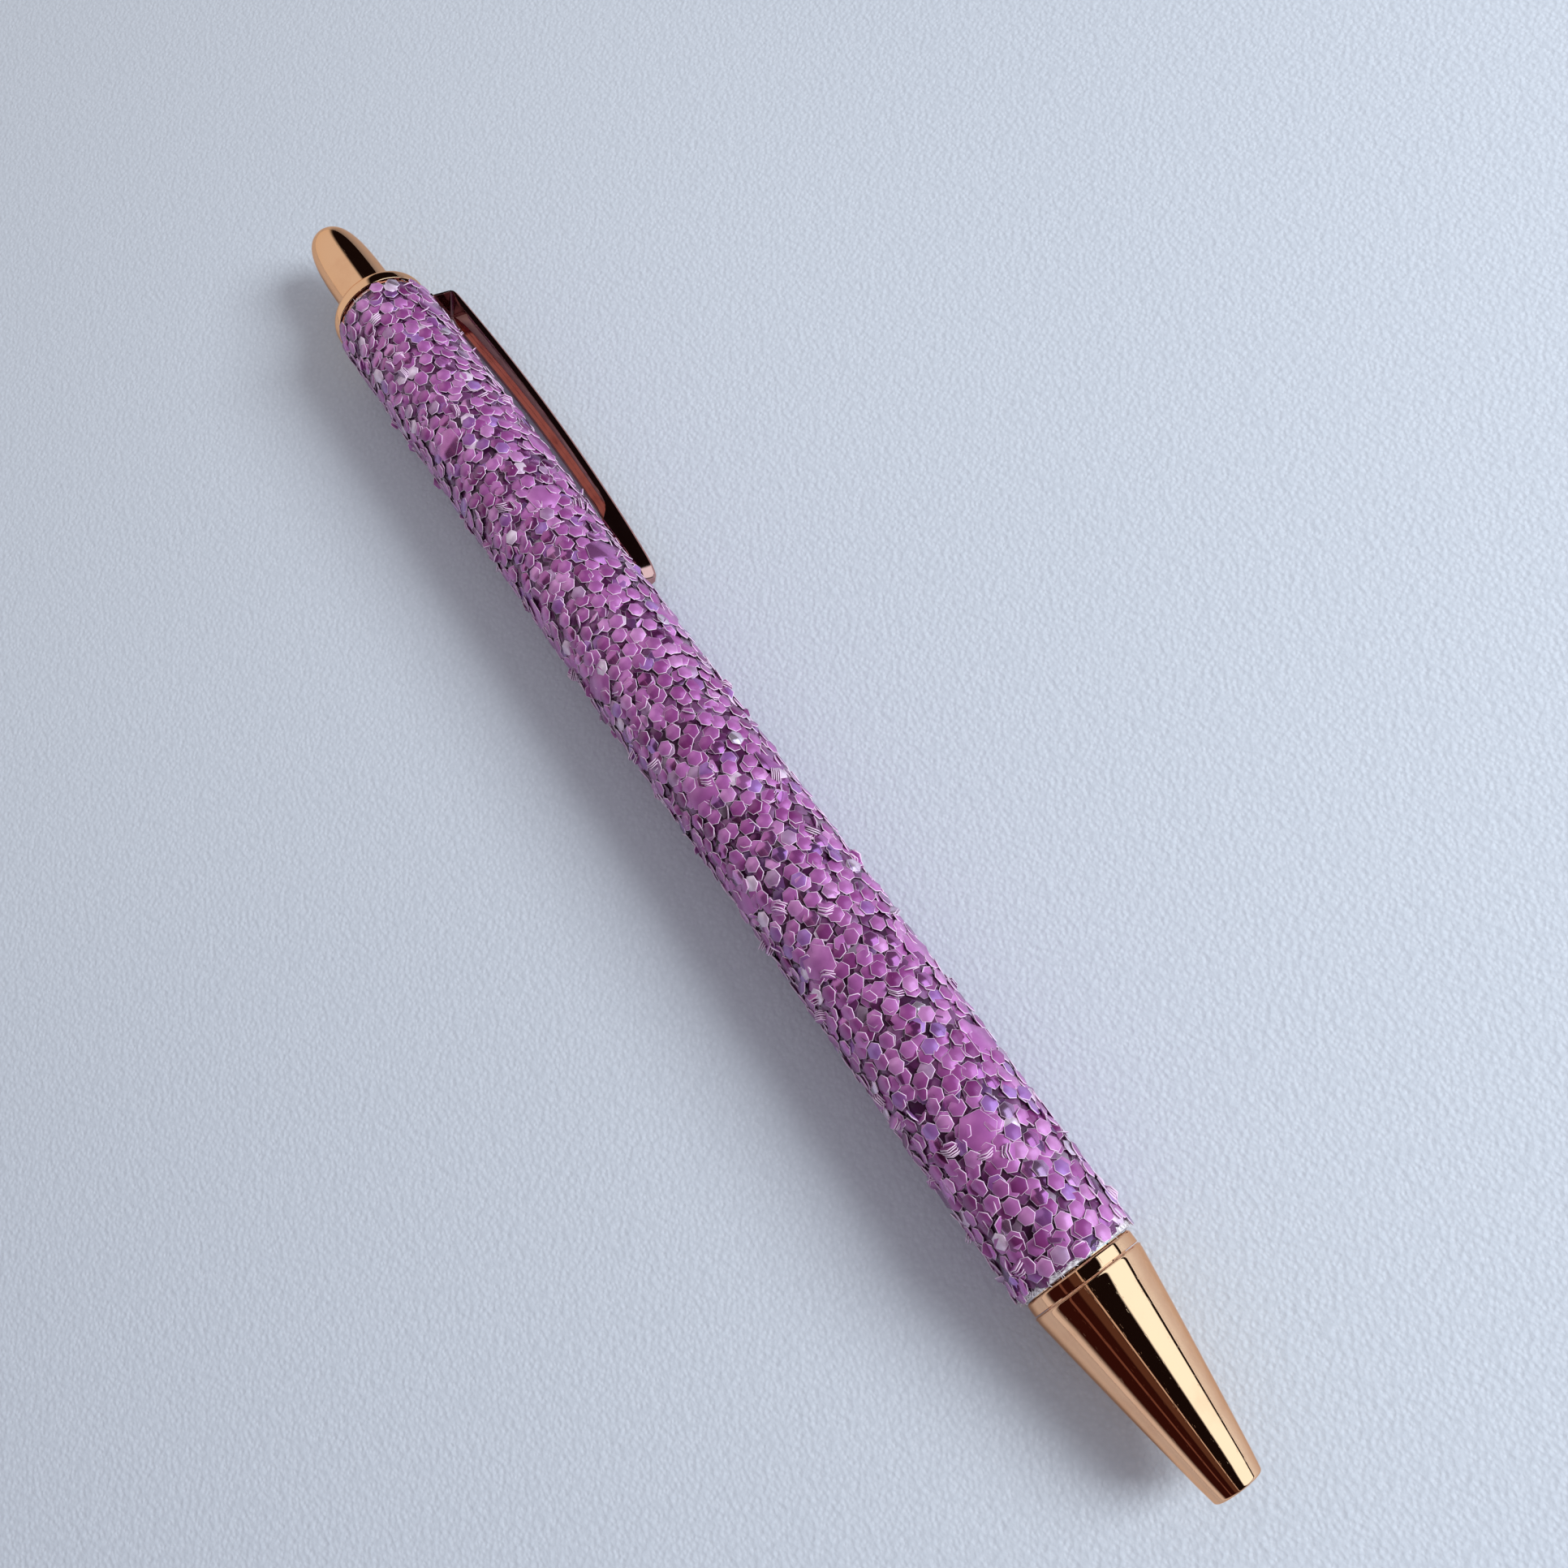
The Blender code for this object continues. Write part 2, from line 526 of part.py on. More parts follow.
def main():
    clear_scene()
    rose_gold = finish("rose_gold", (0.86, 0.52, 0.40), 0.12, 1.0)
    tube_metal = finish("tube_metal", (0.78, 0.78, 0.80), 0.35, 1.0)
    cloth = finish("cloth", (0.82, 0.80, 0.80), 0.9)
    glitter = finish("glitter", (0.50, 0.16, 0.46), 0.35, 0.3)
    spring_steel = finish("spring_steel", (0.62, 0.62, 0.64), 0.3, 1.0)
    nickel_silver = finish("nickel_silver", (0.72, 0.70, 0.66), 0.25, 1.0)
    carbide = finish("carbide", (0.35, 0.35, 0.37), 0.15, 1.0)
    clear_plastic = finish("clear_plastic", (0.85, 0.87, 0.88), 0.2)
    white_plastic = finish("white_plastic", (0.86, 0.86, 0.84), 0.45)
    ink = finish("ink", (0.01, 0.01, 0.02), 0.2)
    grease = finish("grease", (0.80, 0.78, 0.66), 0.3)

    rings = clip_rings()
    drop = clip_drop(rings)
    reach = max(radius * math.cos(drop) + abs(across) * math.sin(drop)
                for ring in rings for _, across, radius in ring)
    axis_y = 0.5 * (WRAP_RADIUS - reach)
    pen_axis = empty("pen_axis", (0.5 * LENGTH, axis_y, WRAP_RADIUS))
    nose_axis = empty("nose_axis", (0, 0, 0), pen_axis)
    refill_axis = empty("refill_axis", (0, 0, 0), pen_axis)
    button_axis = empty("button_axis", (0, 0, 0), pen_axis)
    clip_plane = empty("clip_plane", (0, 0, 0), pen_axis)
    clip_plane.rotation_euler = (-0.5 * math.pi - drop, 0.0, 0.0)
    clip_hinge = empty("clip_hinge", (-(CLIP_SEAT + SHEET / 2), 0.0, CLIP_ROOT), clip_plane)

    barrel_tube(pen_axis, tube_metal)
    wrap_layer("wrap_backing", CLOTH_BORE, CLOTH_RADIUS, pen_axis, cloth)
    glitter_coat(pen_axis, glitter)
    lower_ferrule(pen_axis, rose_gold)
    end_collar(pen_axis, rose_gold)
    cam_sleeve(pen_axis, white_plastic)
    clip_ring(clip_plane, rose_gold)
    clip(clip_hinge, rose_gold, rings)

    nose_cone(nose_axis, rose_gold)
    return_spring(nose_axis, spring_steel)

    push_button(button_axis, rose_gold)
    plunger_cam(button_axis, white_plastic)

    cam_rotor(refill_axis, white_plastic)
    refill_tail_plug(refill_axis, white_plastic)
    refill_tube(refill_axis, clear_plastic)
    column("gel_ink", HOLDER_END + 0.1 * MM, INK_END, refill_axis, ink)
    column("ink_follower", INK_END + 0.1 * MM, FOLLOWER_END, refill_axis, grease)
    tip_holder(refill_axis, white_plastic)
    writing_tip(refill_axis, nickel_silver)
    tip_ball(refill_axis, carbide)


main()
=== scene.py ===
# %% [markdown]
# # A glitter gel pen, from its frame to its finish
# The pen is a click pen: plated metal fittings on a tube that is wrapped in chunky glitter. Its sizes,
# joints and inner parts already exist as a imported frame. This lesson gives it its looks: finely turned
# metal, a sprung clip, thousands of glitter flakes, and a finish for each piece. The frame comes first,
# because every piece is placed from it.

import math
import random

import bpy
import numpy as np
from mathutils import Matrix, Vector


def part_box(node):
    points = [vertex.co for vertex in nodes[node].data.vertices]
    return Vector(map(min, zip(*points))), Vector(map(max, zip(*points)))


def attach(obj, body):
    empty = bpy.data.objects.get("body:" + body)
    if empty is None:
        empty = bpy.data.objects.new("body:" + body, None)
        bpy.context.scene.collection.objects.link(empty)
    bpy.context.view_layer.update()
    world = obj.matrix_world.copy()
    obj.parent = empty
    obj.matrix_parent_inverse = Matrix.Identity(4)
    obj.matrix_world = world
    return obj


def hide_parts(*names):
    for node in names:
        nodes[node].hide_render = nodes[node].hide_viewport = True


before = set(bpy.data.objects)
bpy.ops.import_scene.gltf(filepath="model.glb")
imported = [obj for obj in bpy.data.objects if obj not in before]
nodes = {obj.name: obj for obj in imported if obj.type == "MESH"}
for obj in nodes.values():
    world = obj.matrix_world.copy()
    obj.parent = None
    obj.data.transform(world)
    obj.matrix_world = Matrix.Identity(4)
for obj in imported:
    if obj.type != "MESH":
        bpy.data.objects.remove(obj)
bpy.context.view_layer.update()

# %% [markdown]
# ## Where things are
# A pen is a lathe's work, so two numbers place everything on it: a station, which is the distance from
# the nose's end along the axis, and a radius. The axis is the middle of the glitter coat, and the
# nose's end is the cone's furthest point, so both are read from the frame and nothing is typed twice.
# The clip hangs off one side; its direction is the way from the axis to the clip's own middle.

# %% Axis, stations and the clip's direction
MM = 0.001
coat_low, coat_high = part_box("glitter_coat")
nose_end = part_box("nose_cone")[1].x
axis_y = 0.5 * (coat_low.y + coat_high.y)
axis_z = 0.5 * (coat_low.z + coat_high.z)
coat_radius = 0.5 * (coat_high.y - coat_low.y)
clip_low, clip_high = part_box("clip")


def at(station, angle=0.0, radius=0.0):
    """The point at a station, a radius and an angle round the axis, which is 0 on top."""
    return Vector((nose_end - station,
                   axis_y + radius * math.sin(angle), axis_z + radius * math.cos(angle)))


def station_of(x):
    return nose_end - x


coat_start, coat_end = station_of(coat_high.x), station_of(coat_low.x)
clip_angle = math.atan2(0.5 * (clip_low.y + clip_high.y) - axis_y,
                        0.5 * (clip_low.z + clip_high.z) - axis_z)
print("coat from", round(coat_start / MM, 2), "to", round(coat_end / MM, 2), "mm, radius",
      round(coat_radius / MM, 2), "clip at", round(math.degrees(clip_angle)), "degrees")

# %% [markdown]
# ## The camera
# The pen is seen from close above its nose, a little rolled, so that it runs from one corner to the
# other and the far end looks smaller. A close camera needs a fairly wide lens. It is aimed by its
# place, the point that it looks at, and a roll about its own line of sight, which is what a tripod head has.

# %% Camera
camera_place = Vector((53.22, 5.96, 117.97)) * MM
camera_aim = Vector((6.94, 2.63, 0.0)) * MM
camera_roll = math.radians(-41.3)
camera_data = bpy.data.cameras.new("pen_camera")
camera_data.lens = 33.28
camera_data.sensor_width = 36.0
camera_data.clip_start = 1 * MM
camera = bpy.data.objects.new("pen_camera", camera_data)
bpy.context.scene.collection.objects.link(camera)
bpy.context.scene.camera = camera
sight = (camera_aim - camera_place).to_track_quat("-Z", "Y").to_matrix().to_4x4()
camera.matrix_world = Matrix.Translation(camera_place) @ sight @ Matrix.Rotation(camera_roll, 4, "Z")
print("camera", round((camera_place - camera_aim).length / MM), "mm from what it looks at")

# %% [markdown]
# ## Turning metal by hand
# The cone, band, collar and button come off a lathe, so each is one outline swept round the axis. It
# could be done with a Screw modifier or with Spin, but walking a ring of edges along the axis is the
# easiest to follow: extrude the ring, slide it to the next station, and scale it to the next radius.
# The ring has many sides, because polished metal shows every flat in its reflections.

# %% Helpers for turned pieces
TURNED_SIDES = 128
SMOOTH_UP_TO = 28       # degrees between faces that are shaded as one
WELD = 1e-6             # points closer than this are one point
POLE_SHARE = 0.01       # a ring shrinks to this before its points are merged


def deselect():
    """Object mode, with nothing selected."""
    if bpy.context.mode != "OBJECT":
        bpy.ops.object.mode_set(mode="OBJECT")
    bpy.ops.object.select_all(action="DESELECT")


def edit_all():
    """Edit mode, with everything selected."""
    bpy.ops.object.mode_set(mode="EDIT")
    bpy.ops.mesh.select_all(action="SELECT")


def start_ring(name, station, radius):
    """A circle round the axis, in edit mode and selected."""
    deselect()
    bpy.ops.mesh.primitive_circle_add(vertices=TURNED_SIDES, radius=radius, location=at(station),
                                      rotation=(0, math.radians(90), 0))
    bpy.context.active_object.name = name
    bpy.ops.object.transform_apply(location=True, rotation=True, scale=True)
    edit_all()
    return bpy.context.active_object


def draw_ring(was, to):
    """Extrudes the selected ring from one (station, radius) to the next."""
    bpy.ops.mesh.extrude_edges_move(TRANSFORM_OT_translate={"value": (was[0] - to[0], 0, 0)})
    grow = to[1] / was[1]
    bpy.ops.transform.resize(value=(1, grow, grow), center_override=at(to[0]))


def turn(name, outline, closed=True, smooth=SMOOTH_UP_TO):
    """A turned piece from its outline of (station, radius) points. A last radius of 0 closes a pole."""
    piece = start_ring(name, *outline[0])
    was = outline[0]
    for to in outline[1:] + (outline[:1] if closed else []):
        if to[1] == 0:
            draw_ring(was, (to[0], was[1] * POLE_SHARE))
            bpy.ops.mesh.merge(type="CENTER")
            break
        draw_ring(was, to)
        was = to
    bpy.ops.mesh.select_all(action="SELECT")
    bpy.ops.mesh.remove_doubles(threshold=WELD)
    bpy.ops.mesh.normals_make_consistent(inside=False)
    bpy.ops.object.mode_set(mode="OBJECT")
    bpy.ops.object.shade_smooth_by_angle(angle=math.radians(smooth))
    print(name, len(piece.data.polygons), "faces")
    return piece


def weld(pieces):
    """Joins pieces into the first one, closes their common edges and turns the faces outwards."""
    deselect()
    for piece in pieces:
        piece.select_set(True)
    bpy.context.view_layer.objects.active = pieces[0]
    bpy.ops.object.join()
    edit_all()
    bpy.ops.mesh.remove_doubles(threshold=WELD)
    bpy.ops.mesh.normals_make_consistent(inside=False)
    bpy.ops.object.mode_set(mode="OBJECT")
    return pieces[0]


def rounded(station, radius, size, first, last, steps=5):
    """Points on a round edge of an outline, centred at (station, radius), with angles in degrees."""
    points = []
    for step in range(steps + 1):
        angle = math.radians(first + (last - first) * step / steps)
        points.append((station + size * math.cos(angle), radius + size * math.sin(angle)))
    return points


# %% [markdown]
# ## The nose cone
# The cone is almost straight, with a slight swell, a rounded blunt end, and a fine raised lip where it
# meets the band. Its neck carries a screw thread, which shows once the cone is undone. The lip is what
# catches a thin bright line all the way round, so it gets its own rounding.

# %% Nose cone
TIP_RADIUS = 2.03 * MM
NIB_HOLE = 1.3 * MM
SEAM = 16.3 * MM
LIP = 0.3 * MM
LIP_RADIUS = 4.72 * MM
CONE_RADIUS = 4.66 * MM
NECK_RADIUS = 3.5 * MM
NECK_BORE = 3.15 * MM
NECK_END = 23.6 * MM
NECK_BORE_FLOOR = SEAM - 0.7 * MM
SPRING_ROOM = 2.4 * MM
SPRING_SEAT = 7.0 * MM


def cone_outline():
    """Round the mouth, up the outside, over the lip, down the neck and back through the bore."""
    edge = 0.24 * MM
    mouth = 0.12 * MM
    points = [(0.35 * MM, NIB_HOLE)] + rounded(mouth, NIB_HOLE + mouth, mouth, 270, 180, 4)
    points += rounded(edge, TIP_RADIUS - edge, edge, 180, 99, 7)
    swell, rings = 0.04 * MM, 10
    for ring in range(1, rings + 1):
        share = ring / rings
        straight = TIP_RADIUS + (CONE_RADIUS - TIP_RADIUS) * share
        points.append(((SEAM - 1.5 * LIP) * share, straight + swell * math.sin(math.pi * share)))
    points += [(SEAM - LIP, CONE_RADIUS - 0.01 * MM)]
    round_edge = 0.5 * (LIP_RADIUS - CONE_RADIUS + 0.05 * MM)
    points += rounded(SEAM - 0.5 * LIP, LIP_RADIUS - round_edge, round_edge, 160, 20, 6)
    points += [(SEAM, LIP_RADIUS - 0.12 * MM), (SEAM, NECK_RADIUS), (NECK_END - LIP, NECK_RADIUS),
               (NECK_END, NECK_RADIUS - 0.2 * MM), (NECK_END, NECK_BORE), (NECK_BORE_FLOOR, NECK_BORE),
               (NECK_BORE_FLOOR, SPRING_ROOM), (SPRING_SEAT, SPRING_ROOM), (SPRING_SEAT, NIB_HOLE)]
    return points


nose_cone = turn("turned_nose_cone", cone_outline())

# %% [markdown]
# ## The screw thread
# The cone screws into the band, so its neck carries a thread. A thread is one small triangle that is
# carried round the axis and forward at the same time, which is exactly what the Screw modifier does. Its
# two ends are then closed, and it becomes part of the cone.

# %% Thread on the neck
THREAD_TURNS = 5
THREAD_SIZE = 0.11 * MM
SCREW_PITCH = 1.0 * MM
THREAD_START = SEAM + 1.2 * MM
THREAD_STEPS = 48       # steps to a turn


def neck_thread():
    """The helix as one closed rod, a little sunk into the neck."""
    deselect()
    bpy.ops.mesh.primitive_circle_add(vertices=3, radius=THREAD_SIZE, location=at(THREAD_START))
    piece = bpy.context.active_object
    edit_all()
    bpy.ops.transform.rotate(value=math.radians(-90), orient_axis="X", center_override=at(THREAD_START))
    bpy.ops.transform.translate(value=(0, 0, NECK_RADIUS))
    bpy.ops.object.mode_set(mode="OBJECT")
    screw = piece.modifiers.new("screw", "SCREW")
    screw.axis = "X"
    screw.iterations = THREAD_TURNS
    screw.steps = screw.render_steps = THREAD_STEPS
    screw.screw_offset = -SCREW_PITCH
    bpy.ops.object.modifier_apply(modifier="screw")
    bpy.ops.object.transform_apply(location=True, rotation=True, scale=True)
    edit_all()
    bpy.ops.mesh.fill_holes(sides=3)
    bpy.ops.object.mode_set(mode="OBJECT")
    print("neck_thread", len(piece.data.polygons), "faces, from radius",
          round(min(v.co.z for v in piece.data.vertices) / MM, 3))
    return piece


nose_cone = weld([nose_cone, neck_thread()])

# %% [markdown]
# ## The plated band
# Between the cone and the glitter sits a short band. It is the visible end of the ferrule that is
# pressed into the barrel. Its edge towards the glitter is rolled over in a soft round.

# %% Band
BAND_RADIUS = 4.62 * MM
FERRULE_BORE = 3.63 * MM
SPIGOT = 4.05 * MM
SPIGOT_END = coat_start + 8.5 * MM


def band_outline():
    """The band that shows, and the spigot inside the barrel."""
    face, shoulder = SEAM + 0.06 * MM, coat_start - 0.1 * MM
    edge, crease = 0.26 * MM, 0.05 * MM
    points = [(face, FERRULE_BORE)] + rounded(face + crease, BAND_RADIUS - crease, crease, 180, 90, 3)
    points += rounded(shoulder - edge, BAND_RADIUS - edge, edge, 90, 0, 8)
    points += [(shoulder, SPIGOT), (SPIGOT_END, SPIGOT), (SPIGOT_END, FERRULE_BORE)]
    return points


band = turn("plated_band", band_outline())

# %% [markdown]
# ## Collar and button
# The collar is a short drawn cap with a rolled edge and a nearly flat top, and the button slides out of
# it. The button is a bullet: a straight side that turns over into a dome. A superellipse gives that dome
# with one number for how square its shoulder is.

# %% Collar
COLLAR_TOP = 129.2 * MM
COLLAR_RADIUS = 4.95 * MM
COLLAR_BORE = 3.05 * MM
COLLAR_SKIRT = 121.5 * MM
SKIRT_BORE = 3.5 * MM
SKIRT_BORE_END = COLLAR_SKIRT + 3.7 * MM


def collar_outline():
    """The skirt inside the barrel, the rolled edge, the crown and the button's hole."""
    seat, crown, rim = coat_end + 0.53 * MM, 0.95 * MM, 0.7 * MM
    roll = 0.08 * MM
    points = [(COLLAR_SKIRT, SKIRT_BORE), (COLLAR_SKIRT, SPIGOT), (seat, SPIGOT)]
    points += rounded(seat + roll, COLLAR_RADIUS - roll, roll, 180, 90, 4)
    points += rounded(seat + rim, COLLAR_RADIUS - crown, crown, 90, 15, 14)
    mouth = 0.1 * MM
    points += [(COLLAR_TOP - 0.1 * MM, COLLAR_BORE + 3 * mouth)]
    points += rounded(COLLAR_TOP - mouth, COLLAR_BORE + mouth, mouth, 0, -90, 4)
    points += [(SKIRT_BORE_END, COLLAR_BORE), (SKIRT_BORE_END, SKIRT_BORE)]
    return points


collar = turn("domed_collar", collar_outline())

# %% Button
BUTTON_RADIUS = 2.95 * MM
BUTTON_BASE = 123.8 * MM
BUTTON_DOME = 129.0 * MM
BUTTON_END = station_of(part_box("push_button")[0].x)
BUTTON_WALL = 0.6 * MM
BUTTON_FLANGE = 3.3 * MM
FLANGE_DEPTH = 1.0 * MM
CAVITY_DEPTH = 7 * MM
DOME_SQUARENESS = 3.6
CAVITY_SQUARENESS = 3.0


def dome(start, end, radius, squareness, steps):
    """A superellipse from a straight side to the pole."""
    points = []
    for step in range(steps):
        angle = math.radians(90) * step / steps
        points.append((start + (end - start) * math.sin(angle) ** (2 / squareness),
                       radius * math.cos(angle) ** (2 / squareness)))
    return points + [(end, 0)]


def button_outlines():
    """The outer skin and the bore, which meet at the flange's inner edge."""
    bore = BUTTON_RADIUS - BUTTON_WALL
    flange_top = BUTTON_BASE + FLANGE_DEPTH
    skin = [(BUTTON_BASE, bore), (BUTTON_BASE, BUTTON_FLANGE), (flange_top, BUTTON_FLANGE),
            (flange_top + 0.1 * MM, BUTTON_RADIUS)]
    skin += dome(BUTTON_DOME, BUTTON_END, BUTTON_RADIUS, DOME_SQUARENESS, 28)
    inside = [(BUTTON_BASE, bore)]
    inside += dome(BUTTON_END - CAVITY_DEPTH, BUTTON_END - BUTTON_WALL, bore, CAVITY_SQUARENESS, 10)
    return skin, inside


skin_outline, bore_outline = button_outlines()
button = weld([turn("polished_button", skin_outline, closed=False),
               turn("button_bore", bore_outline, closed=False)])

# %% [markdown]
# ## The clip
# The clip is one strip of spring steel: its long edges are folded in, so that it looks like a shallow
# channel, and its foot is closed like the bow of a boat. The frame already holds that folded shape as
# flat facets. Copying it and softening it keeps every bend where the hinge needs it: doubles are merged,
# the long folds get a small bevel, and two levels of subdivision round the foot.

# %% Clip
FOLD_ROUND = 0.13 * MM
FOLD_ANGLE = 24         # degrees from which a bend counts as a fold
FLAT_ENOUGH = 25        # degrees within which two triangles make one four-sided face
SQUARE_ENOUGH = 60
CLIP_SMOOTH = 50


def folded_clip():
    """A copy of the frame's clip with rounded folds."""
    deselect()
    nodes["clip"].select_set(True)
    bpy.context.view_layer.objects.active = nodes["clip"]
    bpy.ops.object.duplicate()
    piece = bpy.context.active_object
    piece.name = "folded_clip"
    piece.parent = None
    for key in [k for k in piece.keys() if k.startswith("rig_")]:
        del piece[key]
    edit_all()
    bpy.ops.mesh.remove_doubles(threshold=WELD)
    bpy.ops.mesh.tris_convert_to_quads(face_threshold=math.radians(FLAT_ENOUGH),
                                       shape_threshold=math.radians(SQUARE_ENOUGH))
    bpy.ops.mesh.normals_make_consistent(inside=False)
    bpy.ops.object.mode_set(mode="OBJECT")
    bevel = piece.modifiers.new("folds", "BEVEL")
    bevel.width = FOLD_ROUND
    bevel.segments = 2
    bevel.limit_method = "ANGLE"
    bevel.angle_limit = math.radians(FOLD_ANGLE)
    bpy.ops.object.modifier_apply(modifier="folds")
    soften = piece.modifiers.new("soften", "SUBSURF")
    soften.levels = soften.render_levels = 2
    bpy.ops.object.modifier_apply(modifier="soften")
    bpy.ops.object.shade_smooth_by_angle(angle=math.radians(CLIP_SMOOTH))
    print(piece.name, len(piece.data.polygons), "faces")
    return piece


clip = folded_clip()

# %% [markdown]
# ## Under the glitter: woven backing and glue
# The glitter is sold as a strip of thin cloth with the flakes already fixed on with glue. The strip is
# wrapped once round the tube, so its cut ends show as a pale, slightly frayed edge, and the glue shows
# wherever the flakes leave a gap, coloured dark as painted shade. All are turned, then their end rings are
# made ragged with a few waves and a little chance.

# %% Backing and glue
BACKING_BORE = 4.55 * MM
BACKING_RADIUS = 4.72 * MM
GLUE_RADIUS = 4.9 * MM
LAYER_GAP = 0.01 * MM
WRAP_RINGS = 60
WRAP_SMOOTH = 60
chance = random.Random(20)


def wrap_tube(name, start, end, inner, outer, ragged, length_steps):
    """A thin tube with ragged ends and a few rings along its length."""
    outline = [(start, inner), (start, outer)]
    outline += [(start + (end - start) * step / length_steps, outer) for step in range(1, length_steps)]
    outline += [(end, outer), (end, inner)]
    tube = turn(name, outline, smooth=WRAP_SMOOTH)
    for vertex in tube.data.vertices:
        for edge, way in ((start, 1), (end, -1)):
            if abs(station_of(vertex.co.x) - edge) < WELD:
                angle = math.atan2(vertex.co.y - axis_y, vertex.co.z - axis_z)
                wave = math.sin(7 * angle) + math.sin(17 * angle + 1.3) + math.sin(31 * angle + way)
                vertex.co.x += ragged * (wave / 3 + chance.uniform(-0.35, 0.35))
    return tube


backing = wrap_tube("woven_backing", coat_start + 0.05 * MM, coat_end - 0.05 * MM,
                    BACKING_BORE, BACKING_RADIUS, 0.03 * MM, WRAP_RINGS)
glue = wrap_tube("glue_layer", coat_start + 0.45 * MM, coat_end - 0.15 * MM,
                 BACKING_RADIUS + LAYER_GAP, GLUE_RADIUS, 0.12 * MM, WRAP_RINGS)
fringe = wrap_tube("frayed_edge", coat_start + 0.09 * MM, coat_start + 0.5 * MM,
                   BACKING_RADIUS + LAYER_GAP, GLUE_RADIUS - 0.04 * MM, 0.11 * MM, 6)

# %% [markdown]
# ## One flake
# Every flake is the same punched hexagon, so it is modelled once: a six-sided disc whose rims are
# bevelled, because the cut rim is pale and catches the light. Its faces are marked as face or rim with
# an attribute, which the finish reads. The few larger flakes are the same disc, wider and thinner.

# %% Flake
FLAKE_ACROSS = 1.24 * MM
FLAKE_THICK = 0.1 * MM
FLAKE_RIM = 0.035 * MM
LARGE_ACROSS = 2.7 * MM
LARGE_THICK = 0.06 * MM
LARGE_RIM = 0.02 * MM


def flake(name, across, thick, rim):
    """A hexagonal disc with bevelled rims, measured across its flats."""
    deselect()
    bpy.ops.mesh.primitive_cylinder_add(vertices=6, radius=across / math.sqrt(3), depth=thick)
    piece = bpy.context.active_object
    piece.name = name
    bevel = piece.modifiers.new("rim", "BEVEL")
    bevel.width = rim
    bevel.segments = 1
    bevel.limit_method = "ANGLE"
    bevel.angle_limit = math.radians(70)
    bpy.ops.object.modifier_apply(modifier="rim")
    cut = piece.data.attributes.new("rim", "FLOAT", "FACE")
    cut.data.foreach_set("value", [float(abs(f.normal.z) < 0.9) for f in piece.data.polygons])
    print(name, len(piece.data.polygons), "faces")
    return piece


small_flake = flake("flake_pattern", FLAKE_ACROSS, FLAKE_THICK, FLAKE_RIM)
large_flake = flake("large_pattern", LARGE_ACROSS, LARGE_THICK, LARGE_RIM)

# %% [markdown]
# ## Copying a pattern thousands of times
# Thousands of flakes as separate objects would be slow, and an instancer wouldn't reach the exported
# mesh. So the pattern's points are read once and a whole layer is written as one mesh: each copy's
# points are the pattern's points times that copy's own matrix. Each copy also gets a tone, one number
# from 0 to 1 that stays the same all over the flake, which the finish turns into its colour.

# %% Helpers that copy
def layer(name, pattern, places, tones):
    """One mesh with a copy of the pattern at each place, and a tone on each copy's faces."""
    source = pattern.data
    points = np.array([v.co for v in source.vertices])
    starts = np.array([p.loop_start for p in source.polygons])
    corners = np.array([loop.vertex_index for loop in source.loops])
    moves = np.array([[list(row) for row in place] for place in places])
    copies = len(places)
    spread = np.einsum("nij,vj->nvi", moves[:, :3, :3], points) + moves[:, None, :3, 3]
    number = np.arange(copies)
    mesh = bpy.data.meshes.new(name)
    mesh.vertices.add(copies * len(points))
    mesh.vertices.foreach_set("co", spread.ravel())
    mesh.loops.add(copies * len(corners))
    mesh.loops.foreach_set("vertex_index", (corners + number[:, None] * len(points)).ravel())
    mesh.polygons.add(copies * len(starts))
    mesh.polygons.foreach_set("loop_start", (starts + number[:, None] * len(corners)).ravel())
    mesh.update(calc_edges=True)
    mesh.validate()
    for label, values in (("tone", np.repeat(tones, len(starts))),
                          ("rim", np.tile([r.value for r in source.attributes["rim"].data], copies))):
        mesh.attributes.new(label, "FLOAT", "FACE").data.foreach_set("value", values)
    piece = bpy.data.objects.new(name, mesh)
    bpy.context.scene.collection.objects.link(piece)
    print(name, copies, "copies,", len(mesh.polygons), "faces")
    return piece


def apart(gap, first, last, tries, rng, taken=()):
    """Random (station, angle) spots round the barrel, no two closer than a gap."""
    turn_length = 2 * math.pi * coat_radius
    columns = int(turn_length / gap)
    cells = {}
    spots = []
    for trial in range(-len(taken), tries):
        station, angle = taken[trial] if trial < 0 else (rng.uniform(first, last),
                                                         rng.uniform(-math.pi, math.pi))
        around = (angle + math.pi) * coat_radius
        row, column = int(station / gap), int(around / turn_length * columns) % columns
        clear = True
        for near_row in (row - 1, row, row + 1):
            for near_column in ((column - 1) % columns, column, (column + 1) % columns):
                for other_station, other_around in cells.get((near_row, near_column), ()):
                    sideways = abs(other_around - around)
                    sideways = min(sideways, turn_length - sideways)
                    if math.hypot(other_station - station, sideways) < gap:
                        clear = False
        if clear or trial < 0:
            cells.setdefault((row, column), []).append((station, around))
            if trial >= 0:
                spots.append((station, angle))
    return spots


def lay(station, angle, radius, tilt, tilt_way, spin):
    """The matrix of a flake lying on the barrel, tilted and turned about its own middle."""
    outward = Matrix.Rotation(-angle, 4, "X")
    tilted = Matrix.Rotation(tilt_way, 4, "Z") @ Matrix.Rotation(tilt, 4, "X")
    return Matrix.Translation(at(station, angle, radius)) @ outward @ tilted @ Matrix.Rotation(spin, 4, "Z")


# %% [markdown]
# ## Laying the flakes
# The flakes lie like scattered coins. Three layers do it: an under layer, a middle layer and a top
# layer, each spread so that no two middles come too close, and each a little higher and more tilted
# than the last. A few stand nearly on edge, some lie as tipped-over stacks, and a few are large and of
# the commonest pink. The ones under the clip's foot and on the table's side are pressed flat.

